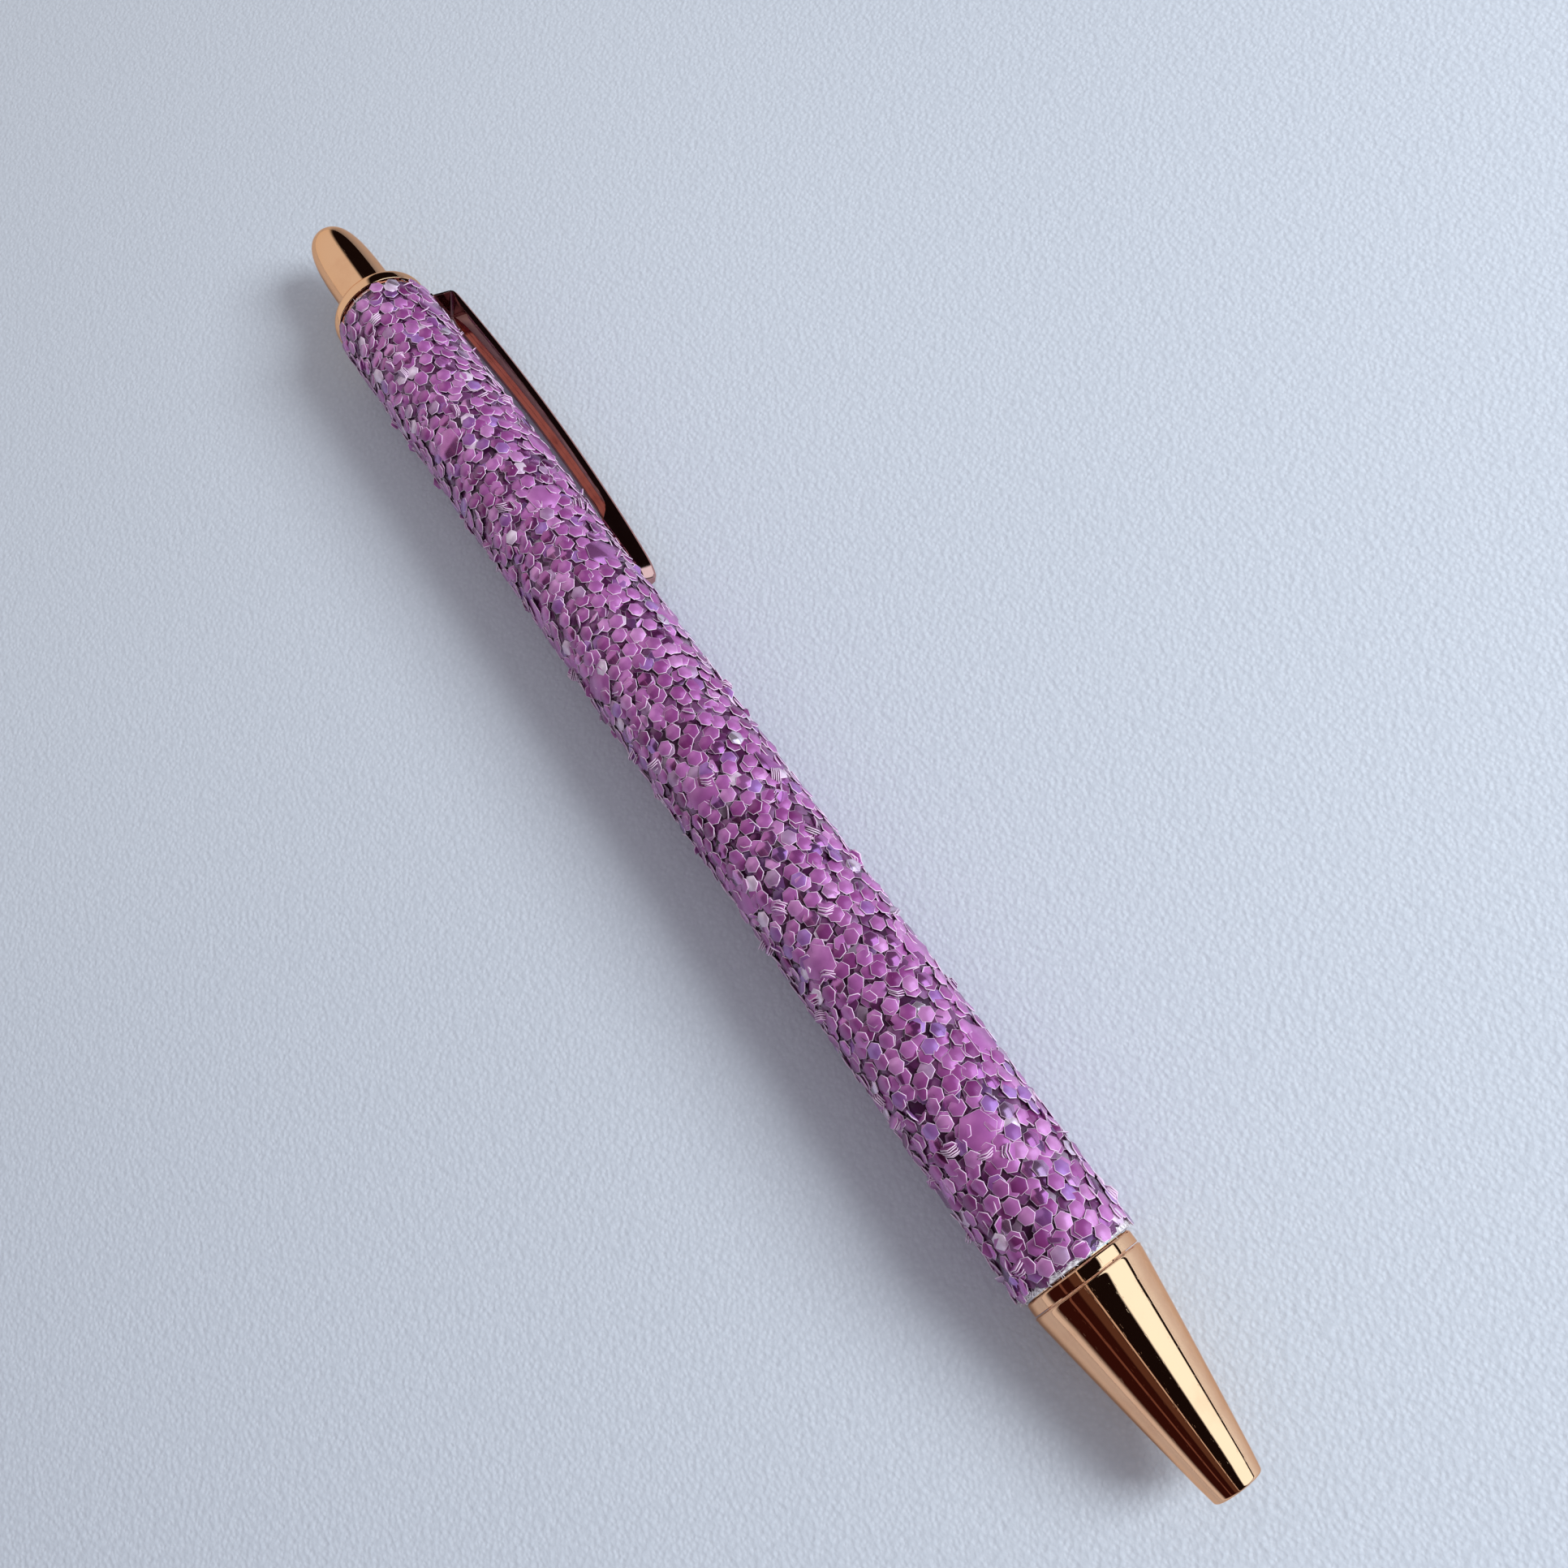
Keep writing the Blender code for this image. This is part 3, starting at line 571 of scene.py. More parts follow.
# %% Heights, gaps and tilts
UNDER_RADIUS = 4.90 * MM
MIDDLE_RADIUS = 5.02 * MM
TOP_RADIUS = 5.12 * MM
LARGE_RADIUS = 5.06 * MM
SUNK = 0.2 * MM
ORCHID_FROM, ORCHID_TO = 0.25, 0.59
HEIGHT_SPREAD = 0.05 * MM
UNDER_GAP, MIDDLE_GAP, TOP_GAP, LARGE_GAP = 0.95 * MM, 1.08 * MM, 1.3 * MM, 6.5 * MM
UNDER_TRIES, UPPER_TRIES, LARGE_TRIES, LARGE_COUNT = 16000, 14000, 900, 34
UNDER_TILT, MIDDLE_TILT, TOP_TILT, LARGE_TILT = (math.radians(spread) for spread in (6, 7, 8, 2))
MIDDLE_ON_EDGE, TOP_ON_EDGE = 0.03, 0.07
ON_EDGE_TILT = (30, 70)
rng = random.Random(41)
print("flakes are laid from radius", round(UNDER_RADIUS / MM, 2), "to", round(TOP_RADIUS / MM, 2), "mm")

# %% Flat and standing flakes
FOOT_END = 96 * MM
FOOT_TIP = 85 * MM
FOOT_SIDE = math.radians(35)
TABLE_SIDE = math.radians(152)
PRESSED_TILT = math.radians(5)


def pressed_flat(station, angle):
    """Whether a flake lies under the clip's foot or on the table's side of the barrel."""
    by_the_foot = FOOT_TIP < station < FOOT_END and abs(angle - clip_angle) < FOOT_SIDE
    return by_the_foot or abs(angle) > TABLE_SIDE


def scattered(spots, radius, tilt_spread, on_edge):
    """Matrices and tones for flakes at spots, most lying flat and a share of them standing up."""
    places = []
    tones = []
    for station, angle in spots:
        tilt = abs(rng.gauss(0, tilt_spread))
        height = radius + rng.uniform(-1, 1) * HEIGHT_SPREAD
        if rng.random() < on_edge:
            tilt, height = math.radians(rng.uniform(*ON_EDGE_TILT)), height - SUNK
        if pressed_flat(station, angle):
            tilt, height = min(tilt, PRESSED_TILT), min(height, radius - HEIGHT_SPREAD)
        places.append(lay(station, angle, height, tilt, rng.uniform(0, 2 * math.pi),
                          rng.uniform(0, math.pi)))
        tones.append(rng.random())
    return places, tones


# %% Tipped-over stacks
STACK_TRIES = 90
STACK_TILT = (38, 66)
STACK_FLAKES = (3, 5)
STACK_STEP = 0.17 * MM
STACK_SLIP = 0.1 * MM
STACK_MARGIN = 2 * MM


def stacks():
    """Short stacks of flakes that have tipped over and show their rims."""
    places = []
    tones = []
    for _ in range(STACK_TRIES):
        station = rng.uniform(coat_start + STACK_MARGIN, coat_end - STACK_MARGIN)
        angle = rng.uniform(-math.pi, math.pi)
        flat = pressed_flat(station, angle)
        tilt = math.radians(rng.uniform(*STACK_TILT))
        way, tone = rng.uniform(0, 2 * math.pi), rng.random()
        for _ in range(rng.randint(*STACK_FLAKES)):
            place = lay(station, angle, TOP_RADIUS - SUNK, tilt, way, rng.uniform(0, 0.4))
            shift = Matrix.Translation((rng.uniform(-1, 1) * STACK_SLIP, rng.uniform(-1, 1) * STACK_SLIP,
                                        (len(places) % 5 - 2) * STACK_STEP))
            if not flat:
                places.append(place @ shift)
                tones.append(tone)
    return places, tones


# %% All the flakes
first_flake, last_flake = coat_start + 0.52 * MM, coat_end - 0.35 * MM
first_large, last_large = coat_start + 4 * MM, coat_end - 4 * MM
large_spots = apart(LARGE_GAP, first_large, last_large, LARGE_TRIES, rng)[:LARGE_COUNT]
under = scattered(apart(UNDER_GAP, first_flake, last_flake, UNDER_TRIES, rng),
                  UNDER_RADIUS, UNDER_TILT, 0.0)
middle = scattered(apart(MIDDLE_GAP, first_flake, last_flake, UPPER_TRIES, rng, large_spots),
                   MIDDLE_RADIUS, MIDDLE_TILT, MIDDLE_ON_EDGE)
top = scattered(apart(TOP_GAP, first_flake, last_flake, UPPER_TRIES, rng, large_spots),
                TOP_RADIUS, TOP_TILT, TOP_ON_EDGE)
large_places, large_tones = scattered(large_spots, LARGE_RADIUS, LARGE_TILT, 0.0)
large_tones = [ORCHID_FROM + (ORCHID_TO - ORCHID_FROM) * tone for tone in large_tones]
tipped = stacks()
glitter = [layer("flakes_under", small_flake, *under),
           layer("flakes_middle", small_flake, *middle),
           layer("flakes_top", small_flake, *top),
           layer("flakes_tipped", small_flake, *tipped),
           layer("flakes_large", large_flake, large_places, large_tones)]

# %% [markdown]
# ## Loose threads
# The cut edge of the backing sheds short threads. One thread is a thin four-sided rod. It is cut across in
# three places, bent into a shallow curve, and laid round both ends of the wrap with the same helpers as
# the flakes. Then the patterns are removed.

# %% Threads
STRAND_RADIUS = 0.022 * MM
STRAND_LENGTH = 0.8 * MM
STRAND_BEND = 0.35
STRAND_COUNT = 260
STRAND_PLACES = (4.86, 5.05)    # radii in mm, from the cloth to the flakes
STRAND_TILT = (60, 100)
STRAND_SIZES = (0.5, 1.1)


def thread():
    """A short rod, bent to one side."""
    deselect()
    bpy.ops.mesh.primitive_cylinder_add(vertices=4, radius=STRAND_RADIUS, depth=STRAND_LENGTH)
    piece = bpy.context.active_object
    piece.name = "thread_pattern"
    bpy.ops.object.mode_set(mode="EDIT")
    for share in (-0.25, 0.0, 0.25):
        bpy.ops.mesh.select_all(action="SELECT")
        bpy.ops.mesh.bisect(plane_co=(0, 0, share * STRAND_LENGTH), plane_no=(0, 0, 1))
    bpy.ops.object.mode_set(mode="OBJECT")
    for vertex in piece.data.vertices:
        along = vertex.co.z / STRAND_LENGTH
        vertex.co.x += STRAND_BEND * STRAND_LENGTH * along * along
    piece.data.attributes.new("rim", "FLOAT", "FACE")
    return piece


def thread_places():
    """Matrices for the threads: three in four at the nose's end, the rest at the button's."""
    places = []
    for index in range(STRAND_COUNT):
        station = coat_start + rng.uniform(0.1, 0.4) * MM
        if index % 4 == 0:
            station = coat_end - rng.uniform(0.0, 0.3) * MM
        place = lay(station, rng.uniform(-math.pi, math.pi), rng.uniform(*STRAND_PLACES) * MM,
                    math.radians(rng.uniform(*STRAND_TILT)), rng.uniform(0, 2 * math.pi), rng.uniform(0, 6))
        places.append(place @ Matrix.Scale(rng.uniform(*STRAND_SIZES), 4))
    return places


strand = thread()
strand_places = thread_places()
threads = layer("loose_threads", strand, strand_places, [rng.random() for _ in strand_places])
for pattern in (small_flake, large_flake, strand):
    bpy.data.objects.remove(pattern)

# %% [markdown]
# ## Finishes: a helper that adds shader nodes
# A finish is a small graph of nodes. Adding a node, setting its values and linking its inputs are always
# the same three steps, so one helper does them: a value may be a number, a colour, or another node's output.

# %% Helper for node graphs
def add(tree, kind, values=None, **settings):
    """A new node, with its settings made and its inputs set or linked."""
    made = tree.nodes.new(kind)
    for key, setting in settings.items():
        setattr(made, key, setting)
    for socket, value in (values or {}).items():
        if isinstance(value, bpy.types.NodeSocket):
            tree.links.new(value, made.inputs[socket])
        else:
            made.inputs[socket].default_value = value
    return made


def new_group(name, inputs):
    """An empty shader group that puts out a colour, a roughness and a height, and its two end nodes."""
    tree = bpy.data.node_groups.new(name, "ShaderNodeTree")
    for label, kind, value in inputs:
        socket = tree.interface.new_socket(name=label, in_out="INPUT", socket_type="NodeSocket" + kind)
        socket.default_value = value
    for label, kind in (("Colour", "Color"), ("Roughness", "Float"), ("Height", "Float")):
        tree.interface.new_socket(name=label, in_out="OUTPUT", socket_type="NodeSocket" + kind)
    return tree, tree.nodes.new("NodeGroupInput").outputs, tree.nodes.new("NodeGroupOutput").inputs


def mixed(tree, share, first, second):
    """A colour between two colours."""
    return add(tree, "ShaderNodeMix", {"Factor": share, 6: first, 7: second}, data_type="RGBA").outputs[2]


def ranged(tree, value, low, high, to_low=0.0, to_high=1.0):
    """A value remapped smoothly from one range to another."""
    return add(tree, "ShaderNodeMapRange", {"Value": value, "From Min": low, "From Max": high,
                                            "To Min": to_low, "To Max": to_high},
               interpolation_type="SMOOTHSTEP").outputs[0]


def maths(tree, operation, first, second=0.0):
    """The result of one sum on one or two values."""
    return add(tree, "ShaderNodeMath", {0: first, 1: second}, operation=operation).outputs[0]


# %% [markdown]
# ## A group for handled metal
# Plating is a mirror, but never a perfect one. Fingers leave faint smudges that are a little rougher and
# duller, cloths leave hair-fine scratches along the pen, and the plating itself varies in warmth. All the
# metal pieces share this, at their own strengths, so it is one node group.

# %% Handled metal
SMUDGE_EDGES = (0.48, 0.72)
SCRATCH_EDGES = (0.64, 0.74)
SCRATCH_SIZE = 9000.0
SCRATCH_STRETCH = (0.06, 1.0, 1.0)      # drawn out along the pen


def handled_metal_group():
    tree, given, put = new_group(
        "handled_metal",
        [("Colour", "Color", (0.8, 0.5, 0.4, 1)), ("Dull Colour", "Color", (0.6, 0.35, 0.28, 1)),
         ("Roughness", "Float", 0.06), ("Smudge", "Float", 0.1), ("Size", "Float", 300.0)])
    place = add(tree, "ShaderNodeTexCoord").outputs["Object"]
    cloud = add(tree, "ShaderNodeTexNoise", {"Vector": place, "Scale": given["Size"], "Detail": 5.0,
                                             "Roughness": 0.62})
    smudge = ranged(tree, cloud.outputs[0], *SMUDGE_EDGES)
    long_way = add(tree, "ShaderNodeMapping", {"Vector": place, "Scale": SCRATCH_STRETCH}).outputs[0]
    hair = add(tree, "ShaderNodeTexNoise", {"Vector": long_way, "Scale": SCRATCH_SIZE, "Detail": 2.0})
    scratch = ranged(tree, hair.outputs[0], *SCRATCH_EDGES)
    share = maths(tree, "MULTIPLY", smudge, 0.5)
    tree.links.new(mixed(tree, share, given["Colour"], given["Dull Colour"]), put["Colour"])
    rough = maths(tree, "MULTIPLY", smudge, given["Smudge"])
    rough = maths(tree, "ADD", rough, maths(tree, "MULTIPLY", scratch, 0.08))
    tree.links.new(maths(tree, "ADD", rough, given["Roughness"]), put["Roughness"])
    tree.links.new(maths(tree, "SUBTRACT", maths(tree, "MULTIPLY", cloud.outputs[0], 0.3), scratch),
                   put["Height"])
    return tree


handled_metal = handled_metal_group()
print("handled_metal has", len(handled_metal.nodes), "nodes")

# %% [markdown]
# ## A group for moulded and filled materials
# Plastics, glue, ink and cloth have a fine grain and a slightly uneven colour. One noise gives both: it
# shades the colour and it lifts the surface.

# %% Moulded grain
PATCH_SIZE = 160.0
PATCH_EDGES = (0.35, 0.7)


def moulded_grain_group():
    tree, given, put = new_group(
        "moulded_grain",
        [("Colour", "Color", (0.8, 0.8, 0.8, 1)), ("Shade", "Color", (0.6, 0.6, 0.6, 1)),
         ("Roughness", "Float", 0.4), ("Size", "Float", 2000.0)])
    place = add(tree, "ShaderNodeTexCoord").outputs["Object"]
    grain = add(tree, "ShaderNodeTexNoise", {"Vector": place, "Scale": given["Size"], "Detail": 4.0})
    stain = add(tree, "ShaderNodeTexNoise", {"Vector": place, "Scale": PATCH_SIZE, "Detail": 2.0})
    share = maths(tree, "MULTIPLY", ranged(tree, stain.outputs[0], *PATCH_EDGES), 0.6)
    tree.links.new(mixed(tree, share, given["Colour"], given["Shade"]), put["Colour"])
    tree.links.new(maths(tree, "ADD", maths(tree, "MULTIPLY", grain.outputs[0], 0.1), given["Roughness"]),
                   put["Roughness"])
    tree.links.new(grain.outputs[0], put["Height"])
    return tree


moulded_grain = moulded_grain_group()
print("moulded_grain has", len(moulded_grain.nodes), "nodes")

# %% [markdown]
# ## Metals
# A metal's colour is the colour of its reflections. The gold is a warm rose and nearly a mirror; the
# clip is the same plating on rolled sheet, made darker and redder as painted shade, and a touch less
# flat. The steel, nickel and aluminium inside are plain, and differ in colour and in how brightly they are
# finished.

# %% Metal finishes
def new_finish(name, **sockets):
    """A material, its node tree and its Principled shader, with the plain values set on the shader."""
    material = bpy.data.materials.new(name)
    material.use_nodes = True
    shader = material.node_tree.nodes["Principled BSDF"]
    for label, value in sockets.items():
        shader.inputs[label.replace("_", " ")].default_value = value
    return material, material.node_tree, shader


def cover(tree, shader, colour, height, lift, distance):
    """Links a colour to the shader, and a height as relief."""
    relief = add(tree, "ShaderNodeBump", {"Height": height, "Strength": lift, "Distance": distance})
    tree.links.new(colour, shader.inputs["Base Color"])
    tree.links.new(relief.outputs[0], shader.inputs["Normal"])


def finish_from(name, group, values, lift, height, **sockets):
    """A finish whose colour, roughness and relief come from one of the shared groups."""
    material, tree, shader = new_finish(name, **sockets)
    shared = add(tree, "ShaderNodeGroup", node_tree=group)
    for label, value in values.items():
        shared.inputs[label].default_value = value
    cover(tree, shader, shared.outputs["Colour"], shared.outputs["Height"], lift, height)
    tree.links.new(shared.outputs["Roughness"], shader.inputs["Roughness"])
    return material


def metal(name, colour, dull, roughness, smudge, size=300.0, lift=0.12, height=0.01 * MM, **sockets):
    """A finish of handled metal."""
    return finish_from(name, handled_metal,
                       {"Colour": (*colour, 1), "Dull Colour": (*dull, 1), "Roughness": roughness,
                        "Smudge": smudge, "Size": size}, lift, height, Metallic=1.0, **sockets)


rose_gold = metal("rose_gold_plate", (0.90, 0.53, 0.33), (0.80, 0.43, 0.26), 0.035, 0.05,
                  Specular_Tint=(0.95, 0.72, 0.55, 1))
# The clip's colour is darker and redder than the plate's: painted shade. The clip's ring shares it.
clip_gold_painted_shade = metal("rose_gold_sheet", (0.58, 0.31, 0.29), (0.45, 0.21, 0.20), 0.08, 0.08, 500.0, 0.3,
                  Specular_Tint=(0.95, 0.68, 0.61, 1))
drawn_tube = metal("drawn_aluminium", (0.78, 0.78, 0.80), (0.62, 0.62, 0.64), 0.3, 0.15)
spring_wire = metal("spring_wire", (0.66, 0.65, 0.63), (0.45, 0.44, 0.42), 0.2, 0.15, 900.0)
nickel = metal("nickel_silver", (0.78, 0.74, 0.66), (0.6, 0.55, 0.46), 0.16, 0.12, 1500.0)
carbide = metal("ground_carbide", (0.42, 0.42, 0.45), (0.3, 0.3, 0.32), 0.12, 0.1, 3000.0)

# %% [markdown]
# ## Plastics, ink, grease and glue
# These differ in colour, gloss and how much light goes through them. The refill's tube is clear, and the
# grease behind the ink is cloudy, so both let light through.

# %% Moulded finishes
def moulded(name, colour, shade, roughness, size=2000.0, lift=0.15, height=0.02 * MM, **sockets):
    """A finish with a moulded grain."""
    return finish_from(name, moulded_grain,
                       {"Colour": (*colour, 1), "Shade": (*shade, 1), "Roughness": roughness,
                        "Size": size}, lift, height, **sockets)


white_plastic = moulded("white_acetal", (0.80, 0.80, 0.77), (0.70, 0.70, 0.66), 0.32)
clear_plastic = moulded("clear_polypropylene", (0.92, 0.94, 0.95), (0.84, 0.87, 0.89), 0.12,
                        Transmission_Weight=0.85, IOR=1.49)
ink = moulded("black_gel", (0.008, 0.008, 0.014), (0.02, 0.018, 0.03), 0.1, 600.0)
grease = moulded("clear_grease", (0.86, 0.84, 0.70), (0.78, 0.74, 0.58), 0.15, 400.0,
                 Transmission_Weight=0.5, IOR=1.46)
# The glue is real, but its dark plum is painted shade for the gaps between the flakes.
glue_painted_shade_finish = moulded("glue_painted_shade", (0.055, 0.008, 0.045), (0.022, 0.003, 0.02), 0.25, 1500.0, 0.6,
                      0.06 * MM)
thread_finish = moulded("cotton_thread", (0.82, 0.78, 0.80), (0.62, 0.55, 0.60), 0.75, 6000.0)

# %% [markdown]
# ## Woven cloth
# The backing is a plain weave. A weave is two sets of ridges that cross and take turns to be on top.
# Round the barrel the second set follows the angle, so the angle is worked out from the position.

# %% Cloth
THREAD_PITCH = 0.28 * MM
WEAVE_DEPTH = 0.05 * MM


def woven_cloth():
    material, tree, shader = new_finish("woven_cloth", Roughness=0.85, Sheen_Weight=0.3)
    place = add(tree, "ShaderNodeTexCoord").outputs["Object"]
    centred = add(tree, "ShaderNodeMapping", {"Vector": place, "Location": (0, -axis_y, -axis_z)})
    split = add(tree, "ShaderNodeSeparateXYZ", {0: centred.outputs[0]}).outputs
    around = maths(tree, "ARCTAN2", split[1], split[2])
    ridges_per_radian = 2 * math.pi * BACKING_RADIUS / THREAD_PITCH / 2
    weft = maths(tree, "SINE", maths(tree, "MULTIPLY", around, round(ridges_per_radian)))
    warp = maths(tree, "SINE", maths(tree, "MULTIPLY", split[0], math.pi / THREAD_PITCH))
    over = maths(tree, "MULTIPLY", weft, warp)
    height = ranged(tree, over, -1.0, 1.0)
    fuzz = add(tree, "ShaderNodeTexNoise", {"Vector": place, "Scale": 5000.0, "Detail": 3.0})
    lifted = maths(tree, "ADD", height, fuzz.outputs[0])
    # The colour is darker where the weave lies low: painted shade in the hollows between the threads.
    colour = mixed(tree, height, (0.50, 0.44, 0.48, 1), (0.86, 0.84, 0.85, 1))
    cover(tree, shader, colour, lifted, 0.8, WEAVE_DEPTH)
    return material


cloth = woven_cloth()
print(cloth.name, "has", len(cloth.node_tree.nodes), "nodes")

# %% [markdown]
# ## Glitter
# A flake is a metallised film: its face is a tinted, slightly satin mirror and its cut rim is pale. The
# tone decides the tint. Most flakes are orchid pink, some plum and some violet, and a few are painted
# nearly white as painted glints. A ramp with those steps turns the tone into a colour. The under layer has
# a finish of its own, darkened towards a deep plum as painted shade, so that the gaps look deep.

# %% Flake finish
FLAKE_TINTS_AND_GLINTS = ((0.00, (0.22, 0.030, 0.165)), (0.07, (0.38, 0.080, 0.32)), (0.22, (0.52, 0.15, 0.47)),
               (0.42, (0.60, 0.20, 0.55)), (0.60, (0.48, 0.14, 0.42)), (0.72, (0.70, 0.29, 0.64)),
               (0.84, (0.35, 0.13, 0.43)), (0.89, (0.41, 0.19, 0.56)), (0.93, (0.50, 0.30, 0.50)),
               # The last step, nearly white, is painted glints.
               (0.955, (0.94, 0.75, 0.92)))
DARK_PATCH_TINT = (0.30, 0.06, 0.27, 1)
RIM_TINT = (0.92, 0.72, 0.87, 1)
# Painted shade: the under layer's flakes are mixed this far towards a deep plum.
UNDER_SHADE_TINT = (0.05, 0.006, 0.045, 1)
UNDER_SHADE_SHARE = 0.7
TONE_SHUFFLE = 53.0     # spreads the tones, so that being shiny has nothing to do with the tint
SHINY_FROM = 0.8
FOIL_METAL, SHINY_METAL, RIM_METAL = 0.35, 0.45, 0.3
CRINKLE_DEPTH = 0.03 * MM


def flake_finish(name, shade_share):
    """A tinted film whose rims are pale, mixed by a share towards a deep plum as painted shade."""
    material, tree, shader = new_finish(name, Coat_Weight=0.5, Coat_Roughness=0.2)
    tone = add(tree, "ShaderNodeAttribute", attribute_name="tone").outputs["Fac"]
    rim = add(tree, "ShaderNodeAttribute", attribute_name="rim").outputs["Fac"]
    ramp = add(tree, "ShaderNodeValToRGB", {"Fac": tone})
    ramp.color_ramp.interpolation = "CONSTANT"
    steps = ramp.color_ramp.elements
    while len(steps) < len(FLAKE_TINTS_AND_GLINTS):
        steps.new(1.0)
    for step, (position, tint) in zip(steps, FLAKE_TINTS_AND_GLINTS):
        step.position = position
        step.color = (*tint, 1)
    place = add(tree, "ShaderNodeTexCoord").outputs["Object"]
    cloud = add(tree, "ShaderNodeTexNoise", {"Vector": place, "Scale": 900.0, "Detail": 3.0})
    # The faces are darkened in random patches of a noise.
    darker = ranged(tree, cloud.outputs[0], 0.3, 0.75, 0.0, 0.45)
    face = mixed(tree, darker, ramp.outputs[0], DARK_PATCH_TINT)
    colour = mixed(tree, maths(tree, "MULTIPLY", rim, 0.85), face, RIM_TINT)
    colour = mixed(tree, shade_share, colour, UNDER_SHADE_TINT)
    shuffled = maths(tree, "FRACT", maths(tree, "MULTIPLY", tone, TONE_SHUFFLE))
    shiny = ranged(tree, shuffled, SHINY_FROM, SHINY_FROM + 0.08)
    foil = maths(tree, "ADD", FOIL_METAL, maths(tree, "MULTIPLY", shiny, SHINY_METAL))
    foil = maths(tree, "SUBTRACT", foil, maths(tree, "MULTIPLY", rim, RIM_METAL))
    rough = maths(tree, "SUBTRACT", ranged(tree, cloud.outputs[0], 0.3, 0.7, 0.28, 0.42),
                  maths(tree, "MULTIPLY", shiny, 0.16))
    fine = add(tree, "ShaderNodeTexNoise", {"Vector": place, "Scale": 4500.0, "Detail": 2.0})
    cover(tree, shader, colour, fine.outputs[0], 0.12, CRINKLE_DEPTH)
    tree.links.new(foil, shader.inputs["Metallic"])
    tree.links.new(rough, shader.inputs["Roughness"])
    return material


foil = flake_finish("foil_flake", 0.0)
painted_shade_under_foil = flake_finish("painted_shade_under_flake", UNDER_SHADE_SHARE)
print(foil.name, "and", painted_shade_under_foil.name, "have", len(foil.node_tree.nodes), "nodes each")

# %% [markdown]
# ## Dressing the pieces
# Each new piece gets its finish and the body that it moves with, and the frame's piece that it replaces
# is hidden. The inner pieces that the frame already has right only get a finish.

# %% Bodies and finishes
def dress(piece, finish, body, replaced=()):
    """Gives a new piece its finish and its body, and hides the frame's pieces that it replaces."""
    piece.data.materials.clear()
    piece.data.materials.append(finish)
    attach(piece, body)
    if replaced:
        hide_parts(*replaced)


dress(nose_cone, rose_gold, "nose", ["nose_cone"])
dress(band, rose_gold, "barrel", ["lower_ferrule"])
dress(collar, rose_gold, "barrel", ["end_collar"])
dress(button, rose_gold, "button", ["push_button"])
dress(clip, clip_gold_painted_shade, "clip", ["clip"])
dress(backing, cloth, "barrel", ["wrap_backing"])
dress(fringe, cloth, "barrel")
dress(threads, thread_finish, "barrel")
dress(glue, glue_painted_shade_finish, "barrel")
for piece in glitter:
    dress(piece, painted_shade_under_foil if piece.name == "flakes_under" else foil, "barrel", ["glitter_coat"])

inner_finishes = {
    "barrel_tube": drawn_tube, "clip_ring": clip_gold_painted_shade, "cam_sleeve": white_plastic,
    "plunger_cam": white_plastic, "cam_rotor": white_plastic, "refill_tail_plug": white_plastic,
    "tip_holder": white_plastic, "refill_tube": clear_plastic, "gel_ink": ink, "ink_follower": grease,
    "return_spring": spring_wire, "writing_tip": nickel, "tip_ball": carbide}
for name, finish in inner_finishes.items():
    nodes[name].data.materials.clear()
    nodes[name].data.materials.append(finish)

# %% [markdown]
# ## The table
# The pen lies on a pale, cool surface with a fine leather grain and a slight sheen. It isn't part of the
# pen. The grain is small rounded cells from a Voronoi pattern, broken up by noise. It is mostly relief, and
# the colour hardly changes with it. The table lies a hair under the pen, so that no two faces share a place.

# %% Table
TABLE_SIZE = 3.0
TABLE_DROP = 0.05 * MM
GRAIN_SIZE = 2400.0
GRAIN_NOISE = 1800.0
GRAIN_DEPTH = 0.12 * MM


def table_finish():
    material, tree, shader = new_finish("pale_table", Roughness=0.6, Coat_Weight=0.8, Coat_Roughness=0.22)
    place = add(tree, "ShaderNodeTexCoord").outputs["Object"]
    wobble = add(tree, "ShaderNodeTexNoise", {"Vector": place, "Scale": GRAIN_NOISE, "Detail": 2.0})
    cells = add(tree, "ShaderNodeTexVoronoi", {"Vector": place, "Scale": GRAIN_SIZE, "Smoothness": 0.5},
                feature="SMOOTH_F1")
    grain = maths(tree, "ADD", cells.outputs["Distance"], wobble.outputs[0])
    colour = mixed(tree, ranged(tree, grain, 0.2, 1.4), (0.66, 0.71, 0.77, 1), (0.60, 0.65, 0.71, 1))
    cover(tree, shader, colour, grain, 0.45, GRAIN_DEPTH)
    return material


deselect()
bpy.ops.mesh.primitive_plane_add(size=TABLE_SIZE, location=(0, 0, -TABLE_DROP))
table = bpy.context.active_object
table.name = "table"
bpy.ops.object.transform_apply(location=True, rotation=True, scale=True)
table.data.materials.append(table_finish())
print("table", TABLE_SIZE, "m square")

# %% [markdown]
# ## Light
# Polished metal shows the room, so the room is drawn in the world: a dark room, a pale wall behind the
# button, a bright window low on the clip's side, a pale strip low on the other side, and thin warm lines
# overhead. Only mirrors see that room. Everything else is lit by an even, soft sky, and one big soft lamp
# on the window's side gives the shadow its direction. Each pair of numbers below is one soft edge of a
# patch of the room, as parts of a direction from -1 to 1: it starts at the first and is full at the second.

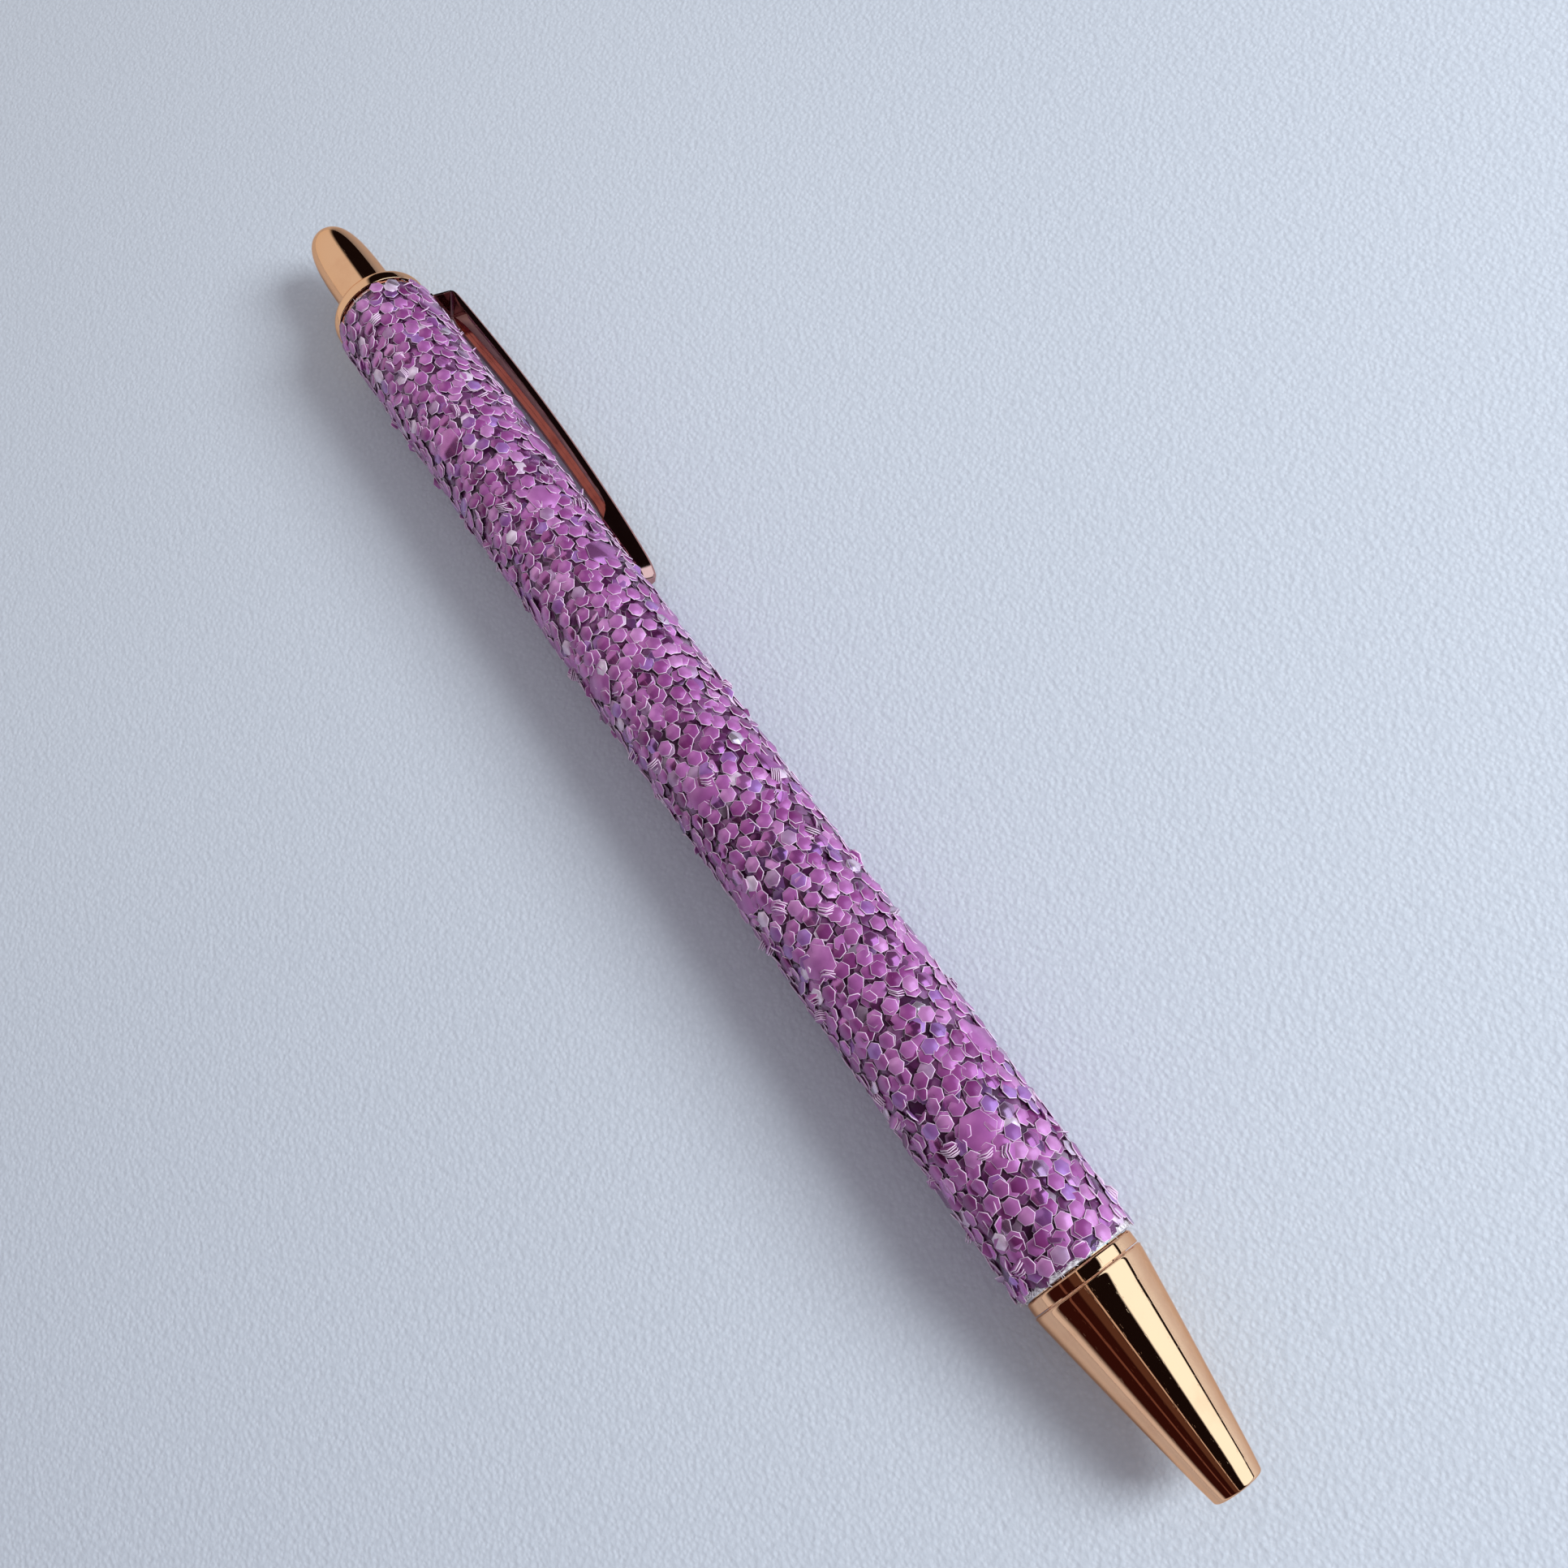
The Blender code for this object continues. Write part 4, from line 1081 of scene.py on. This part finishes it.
# %% World
DARK_ROOM = ((0.030, 0.007, 0.006, 1), (0.008, 0.005, 0.005, 1))
DARK_ROOM_TURN = (-0.5, 0.1)
LOW_STRIP = (0.66, 0.70, 0.76, 1)
LOW_STRIP_TOP, LOW_STRIP_SIDE = (0.34, 0.12), (0.0, -0.3)
OVERHEAD_LINES = ((-0.72, 0.05, (0.16, 0.075, 0.06, 1)), (-0.24, 0.17, (0.10, 0.05, 0.035, 1)),
                  (-0.06, 0.035, (0.62, 0.55, 0.50, 1)))    # angle round the pen, half width, colour
LINE_CORE = 0.55        # the share of a line's width that has its full colour
WINDOW = (1.25, 1.60, 1.75, 1)
WINDOW_TOP, WINDOW_SILL = (0.78, 0.73), (0.08, 0.12)
WINDOW_SIDE, WINDOW_END = (0.35, 0.42), (-0.25, -0.1)
BACK_WALL = (0.70, 0.70, 0.66, 1)
BACK_WALL_NEAR, BACK_WALL_SIDE = (-0.40, -0.58), (0.34, 0.20)
SOFT_SKY = ((0.34, 0.32, 0.36, 1), (0.50, 0.50, 0.55, 1))
SOFT_SKY_TURN = (-0.8, 0.9)


def patch(tree, *limits):
    """A mask that is 1 where all the limits hold. Each limit is a value and the two edges of its range."""
    masks = [ranged(tree, value, *edges) for value, edges in limits]
    whole = masks[0]
    for mask in masks[1:]:
        whole = maths(tree, "MULTIPLY", whole, mask)
    return whole


def room():
    """The world: the drawn room for mirrors, the soft sky for all else."""
    world = bpy.data.worlds.new("studio_room")
    bpy.context.scene.world = world
    world.use_nodes = True
    tree = world.node_tree
    tree.nodes.clear()
    way = add(tree, "ShaderNodeTexCoord").outputs["Generated"]
    x, y, z = add(tree, "ShaderNodeSeparateXYZ", {0: way}).outputs
    seen = mixed(tree, patch(tree, (y, DARK_ROOM_TURN)), *DARK_ROOM)
    seen = mixed(tree, patch(tree, (z, LOW_STRIP_TOP), (y, LOW_STRIP_SIDE)), seen, LOW_STRIP)
    round_angle = maths(tree, "ARCTAN2", y, z)
    for middle, half, colour in OVERHEAD_LINES:
        away = maths(tree, "ABSOLUTE", maths(tree, "SUBTRACT", round_angle, middle))
        seen = mixed(tree, patch(tree, (away, (half, half * LINE_CORE))), seen, colour)
    window = patch(tree, (z, WINDOW_TOP), (y, WINDOW_SIDE), (z, WINDOW_SILL), (x, WINDOW_END))
    seen = mixed(tree, window, seen, WINDOW)
    seen = mixed(tree, patch(tree, (x, BACK_WALL_NEAR), (y, BACK_WALL_SIDE)), seen, BACK_WALL)
    soft = mixed(tree, patch(tree, (y, SOFT_SKY_TURN)), *SOFT_SKY)
    mirror = add(tree, "ShaderNodeLightPath").outputs["Is Glossy Ray"]
    shown = mixed(tree, mirror, soft, seen)
    backdrop = add(tree, "ShaderNodeBackground", {"Color": shown, "Strength": 1.0})
    output = add(tree, "ShaderNodeOutputWorld")
    tree.links.new(backdrop.outputs[0], output.inputs[0])
    print(world.name, "has", len(tree.nodes), "nodes")


room()

# %% Lamp
LAMP_WATTS = 3.4
LAMP_SIZE = 0.24
LAMP_PLACE = Vector((0.26, 0.40, 0.34))
LAMP_COLOUR = (0.95, 1.0, 1.04)


def window_lamp():
    """A big square lamp that faces the pen and isn't mirrored in the metal."""
    lamp = bpy.data.lights.new("window_lamp", "AREA")
    lamp.size = LAMP_SIZE
    lamp.energy = LAMP_WATTS
    lamp.color = LAMP_COLOUR
    holder = bpy.data.objects.new("window_lamp", lamp)
    facing = (-LAMP_PLACE).to_track_quat("-Z", "Y").to_matrix().to_4x4()
    holder.matrix_world = Matrix.Translation(LAMP_PLACE) @ facing
    holder.visible_glossy = False
    bpy.context.scene.collection.objects.link(holder)
    print(holder.name, LAMP_WATTS, "W,", round(LAMP_PLACE.length, 2), "m away")


window_lamp()

# %% [markdown]
# ## Colours
# Colours are shown as they are, without a film curve.

# %% Finish
bpy.context.scene.view_settings.view_transform = "Standard"
deselect()
